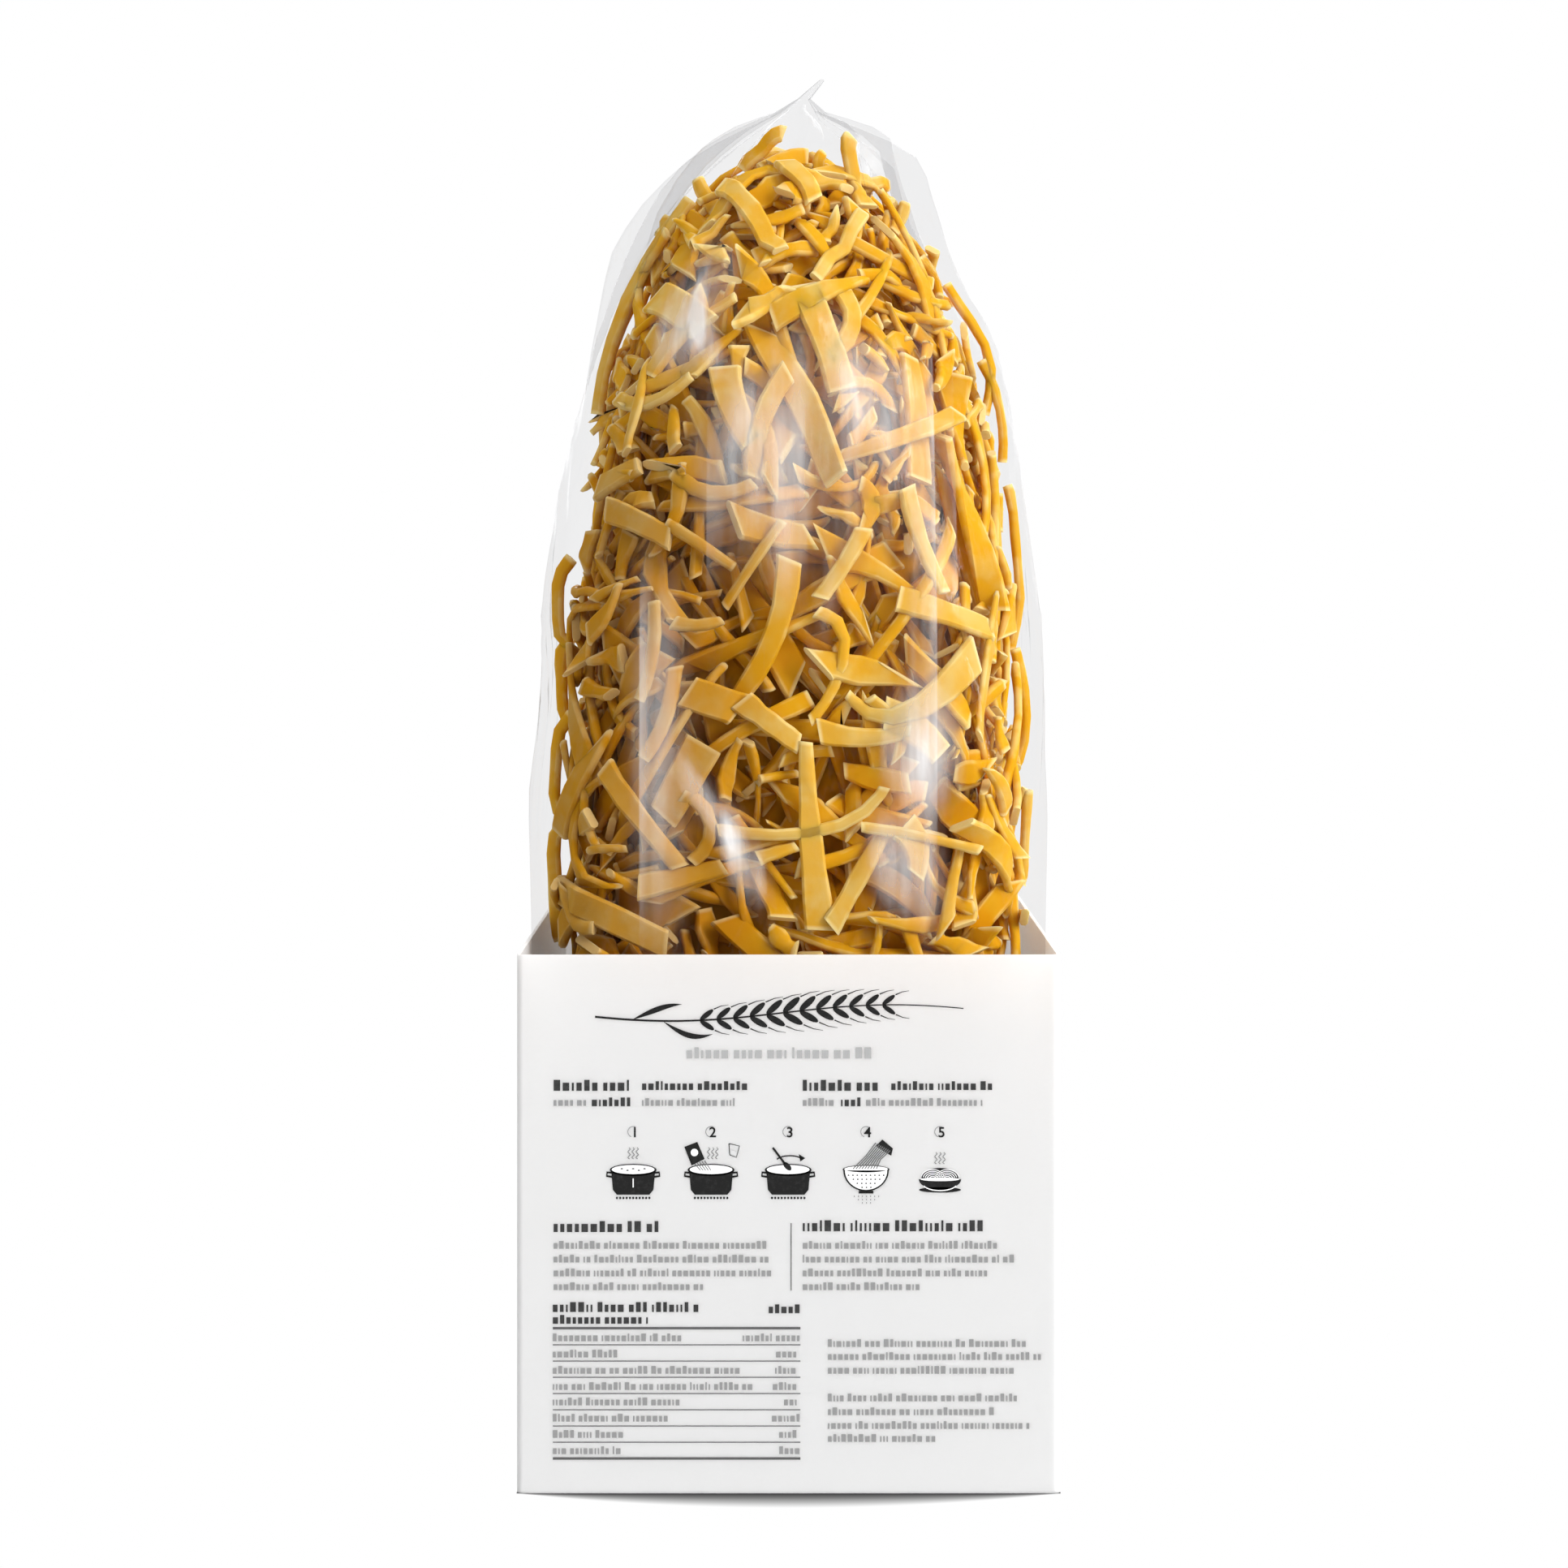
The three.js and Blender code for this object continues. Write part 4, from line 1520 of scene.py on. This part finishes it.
def film_material(settings):
    """Clear film: it shines at grazing angles, and painted reflections make it white where it would catch the
    lamps.
    """
    paint = Paint("clear_film")
    place = paint.place()
    x, y, z = paint.axes(place)
    streaks = paint.noise(paint.stretched(place, (1, 1, 0.07)), 150, 3, 0.55)
    creases = paint.noise(paint.stretched(place, (1, 1, 0.35)), 90, 5, 0.65)
    # Painted reflections: the sheen attribute and the bands whiten the film's front where it would reflect
    # the lamps.
    whitened = paint.attribute("sheen")
    bands = 0.0
    for edge, way, fade, middle, half_height, white in BANDS:
        inward = (x - edge * MM) * way
        fading = paint.math("EXPONENT", -paint.math("MAXIMUM", inward, 0.0) / (fade * MM))
        ends = 1 - paint.step(abs(z - middle * MM), 0.6 * half_height * MM, 1.1 * half_height * MM)
        bands = bands + white * paint.step(inward, 0.0, 0.35 * MM) * fading * ends
    whitened = whitened + bands * paint.step(-y, 5 * MM, 25 * MM)
    whitened = whitened * (0.3 + 1.4 * paint.step(streaks, 0.32, 0.72))
    # Painted glints: thin lines along the crease pattern are a little whiter.
    line = paint.step(abs(creases - 0.5), 0.02, 0.0)
    rim = paint.out(paint.node("ShaderNodeLayerWeight", Blend=0.2), "Facing")
    # The grazing shine is made weaker towards the right, to tone down the key light's reflection there.
    rim = rim * (1 - 0.3 * paint.step(x, 5 * MM, 35 * MM))
    veil = settings.haze + whitened + 0.02 * line + 0.22 * rim**3
    # Where the painted reflections lie, the film turns a matte white instead of metallic.
    white_sheen_share = paint.math("MULTIPLY", whitened, 8.0, clamp=True)
    gloss = paint.principled(
        Base_Color=paint.mix(white_sheen_share, (0.8, 0.81, 0.82), (0.95, 0.95, 0.95)),
        Roughness=0.14 + 0.3 * white_sheen_share,
        Metallic=1 - white_sheen_share,
        Normal=paint.bump(creases + 0.5 * streaks, 0.35, 1.0 * MM),
    )
    clear = paint.node("ShaderNodeBsdfTransparent", Color=settings.tint)
    film = paint.node("ShaderNodeMixShader")
    paint.feed(film.inputs[0], paint.math("MINIMUM", veil, 0.75))
    paint.tree.links.new(clear.outputs[0], film.inputs[1])
    paint.tree.links.new(gloss.outputs[0], film.inputs[2])
    return paint.finish(film)


class NOODLEPACK_OT_film(bpy.types.Operator):
    """Wrap the noodles in the clear film"""

    bl_idname = "noodle_pack.film"
    bl_label = "Film"

    def execute(self, context):
        settings = context.scene.noodle_film
        new_piece("film_skin", film_mesh(settings), film_material(settings), ["film_bag"])
        return {"FINISHED"}


# ---------------------------------------------------------------- stage

# The lamps' places and sizes, and half the floor's side, in metres.
PACK_MIDDLE = Vector((0, 0, 0.14))
KEY_PLACE, KEY_SIZE = (3.55, -3.05, 1.9), (1.9, 3.5)
BACK_PLACE, BACK_SIZE = (0.6, 4.6, 2.0), (3.0, 3.0)
FLOOR_HALF = 6.0


def area_light(name, place, size, power):
    """A rectangular lamp that looks at the middle of the pack."""
    data = bpy.data.lights.new(name, "AREA")
    data.shape = "RECTANGLE"
    data.size, data.size_y = size
    data.energy = power
    light = bpy.data.objects.new(name, data)
    light.location = place
    light.rotation_euler = (PACK_MIDDLE - Vector(place)).to_track_quat("-Z", "Y").to_euler()
    bpy.context.scene.collection.objects.link(light)


def white_surround(scene, settings):
    """A white background that lights the pack less than it shows, so that the lamps can shade it."""
    world = bpy.data.worlds.new("white_surround")
    scene.world = world
    world.use_nodes = True
    wiring = Wiring(world.node_tree)
    x, _, z = wiring.axes(wiring.out(wiring.node("ShaderNodeTexCoord"), "Generated"))
    lit = settings.surround
    for way, more in ((x, settings.surround_right), (z, settings.surround_above)):
        lit = wiring.out(wiring.node("ShaderNodeMapRange", Value=way, To_Max=more), "Result") + lit
    strength = wiring.node("ShaderNodeMapRange", Value=wiring.camera_ray(), To_Min=lit, To_Max=1.0)
    background = world.node_tree.nodes["Background"]
    wiring.feed(background.inputs["Color"], (1, 1, 1))
    wiring.feed(background.inputs["Strength"], wiring.out(strength, "Result"))


def pale_floor(scene, settings):
    """A wide white floor. It shows as evenly white, with a soft shade before and behind the box."""
    side = FLOOR_HALF
    corners = [(-side, -side, 0), (side, -side, 0), (side, side, 0), (-side, side, 0)]
    floor = bpy.data.objects.new("floor", mesh_from("floor", corners, [(0, 1, 2, 3)]))
    scene.collection.objects.link(floor)
    paint = Paint("pale_floor")
    x, y, _ = paint.axes(paint.place())
    away = abs(y) - BOX_HIGH.y
    share = abs(x) / BOX_HIGH.x
    reach = paint.math("MAXIMUM", 1 - share * share, 0.001) * settings.shade_reach
    clear = paint.math("DIVIDE", paint.math("MAXIMUM", away, 0.0), reach, clamp=True) ** 1.6
    clear = paint.math("MAXIMUM", clear, paint.math("GREATER_THAN", share, 1.0))
    seen = paint.camera_ray()
    shown = paint.mix(clear, (0.06, 0.06, 0.06), (1, 1, 1))
    shader = paint.principled(
        Base_Color=paint.mix(seen, (0.5, 0.5, 0.5), (0, 0, 0)),
        Roughness=0.9,
        Specular_IOR_Level=0.0,
        Emission_Color=paint.mix(seen, (0, 0, 0), shown),
        Emission_Strength=1.0,
    )
    floor.data.materials.append(paint.finish(shader))
    return floor


class NOODLEPACK_OT_stage(bpy.types.Operator):
    """Set the floor, the lights and the camera"""

    bl_idname = "noodle_pack.stage"
    bl_label = "Stage"

    def execute(self, context):
        settings = context.scene.noodle_stage
        scene = context.scene
        scene.view_settings.view_transform = "Standard"
        white_surround(scene, settings)
        pale_floor(scene, settings)
        area_light("key", KEY_PLACE, KEY_SIZE, settings.key_power)
        area_light("back", BACK_PLACE, BACK_SIZE, settings.back_power)

        camera = bpy.data.cameras.new("camera")
        camera.sensor_width = 36.0
        camera.lens = FOCAL_PIXELS / FRAME_SIDE * camera.sensor_width
        camera.clip_start, camera.clip_end = 0.01, 50.0
        eye = bpy.data.objects.new("camera", camera)
        eye.location = EYE
        eye.rotation_euler = (math.pi / 2, 0, 0)
        scene.collection.objects.link(eye)
        scene.camera = eye
        return {"FINISHED"}


# ---------------------------------------------------------------- add-on


class NOODLEPACK_PT_panel(bpy.types.Panel):
    """Lists the steps that dress the pack, with their settings"""

    bl_label = "Noodle Pack"
    bl_idname = "NOODLEPACK_PT_panel"
    bl_space_type = "VIEW_3D"
    bl_region_type = "UI"
    bl_category = "Noodle Pack"

    def draw(self, context):
        for operator, group in STEPS:
            self.layout.operator(operator)
            settings = getattr(context.scene, group)
            for name in settings.__annotations__:
                self.layout.prop(settings, name)


STEPS = (
    ("noodle_pack.stage", "noodle_stage"),
    ("noodle_pack.card", "noodle_card"),
    ("noodle_pack.print", "noodle_card"),
    ("noodle_pack.noodles", "noodle_dough"),
    ("noodle_pack.film", "noodle_film"),
)
GROUPS = {
    "noodle_stage": StageSettings,
    "noodle_card": CardSettings,
    "noodle_dough": NoodleSettings,
    "noodle_film": FilmSettings,
}
CLASSES = (
    *GROUPS.values(),
    NOODLEPACK_OT_stage,
    NOODLEPACK_OT_card,
    NOODLEPACK_OT_print,
    NOODLEPACK_OT_noodles,
    NOODLEPACK_OT_film,
    NOODLEPACK_PT_panel,
)


def register():
    for cls in CLASSES:
        bpy.utils.register_class(cls)
    for name, group in GROUPS.items():
        setattr(bpy.types.Scene, name, bpy.props.PointerProperty(type=group))


def unregister():
    for name in GROUPS:
        delattr(bpy.types.Scene, name)
    for cls in reversed(CLASSES):
        bpy.utils.unregister_class(cls)


def main():
    register()
    bpy.ops.noodle_pack.stage()
    bpy.ops.noodle_pack.card()
    bpy.ops.noodle_pack.print()
    bpy.ops.noodle_pack.noodles()
    bpy.ops.noodle_pack.film()


if __name__ == "__main__":
    main()
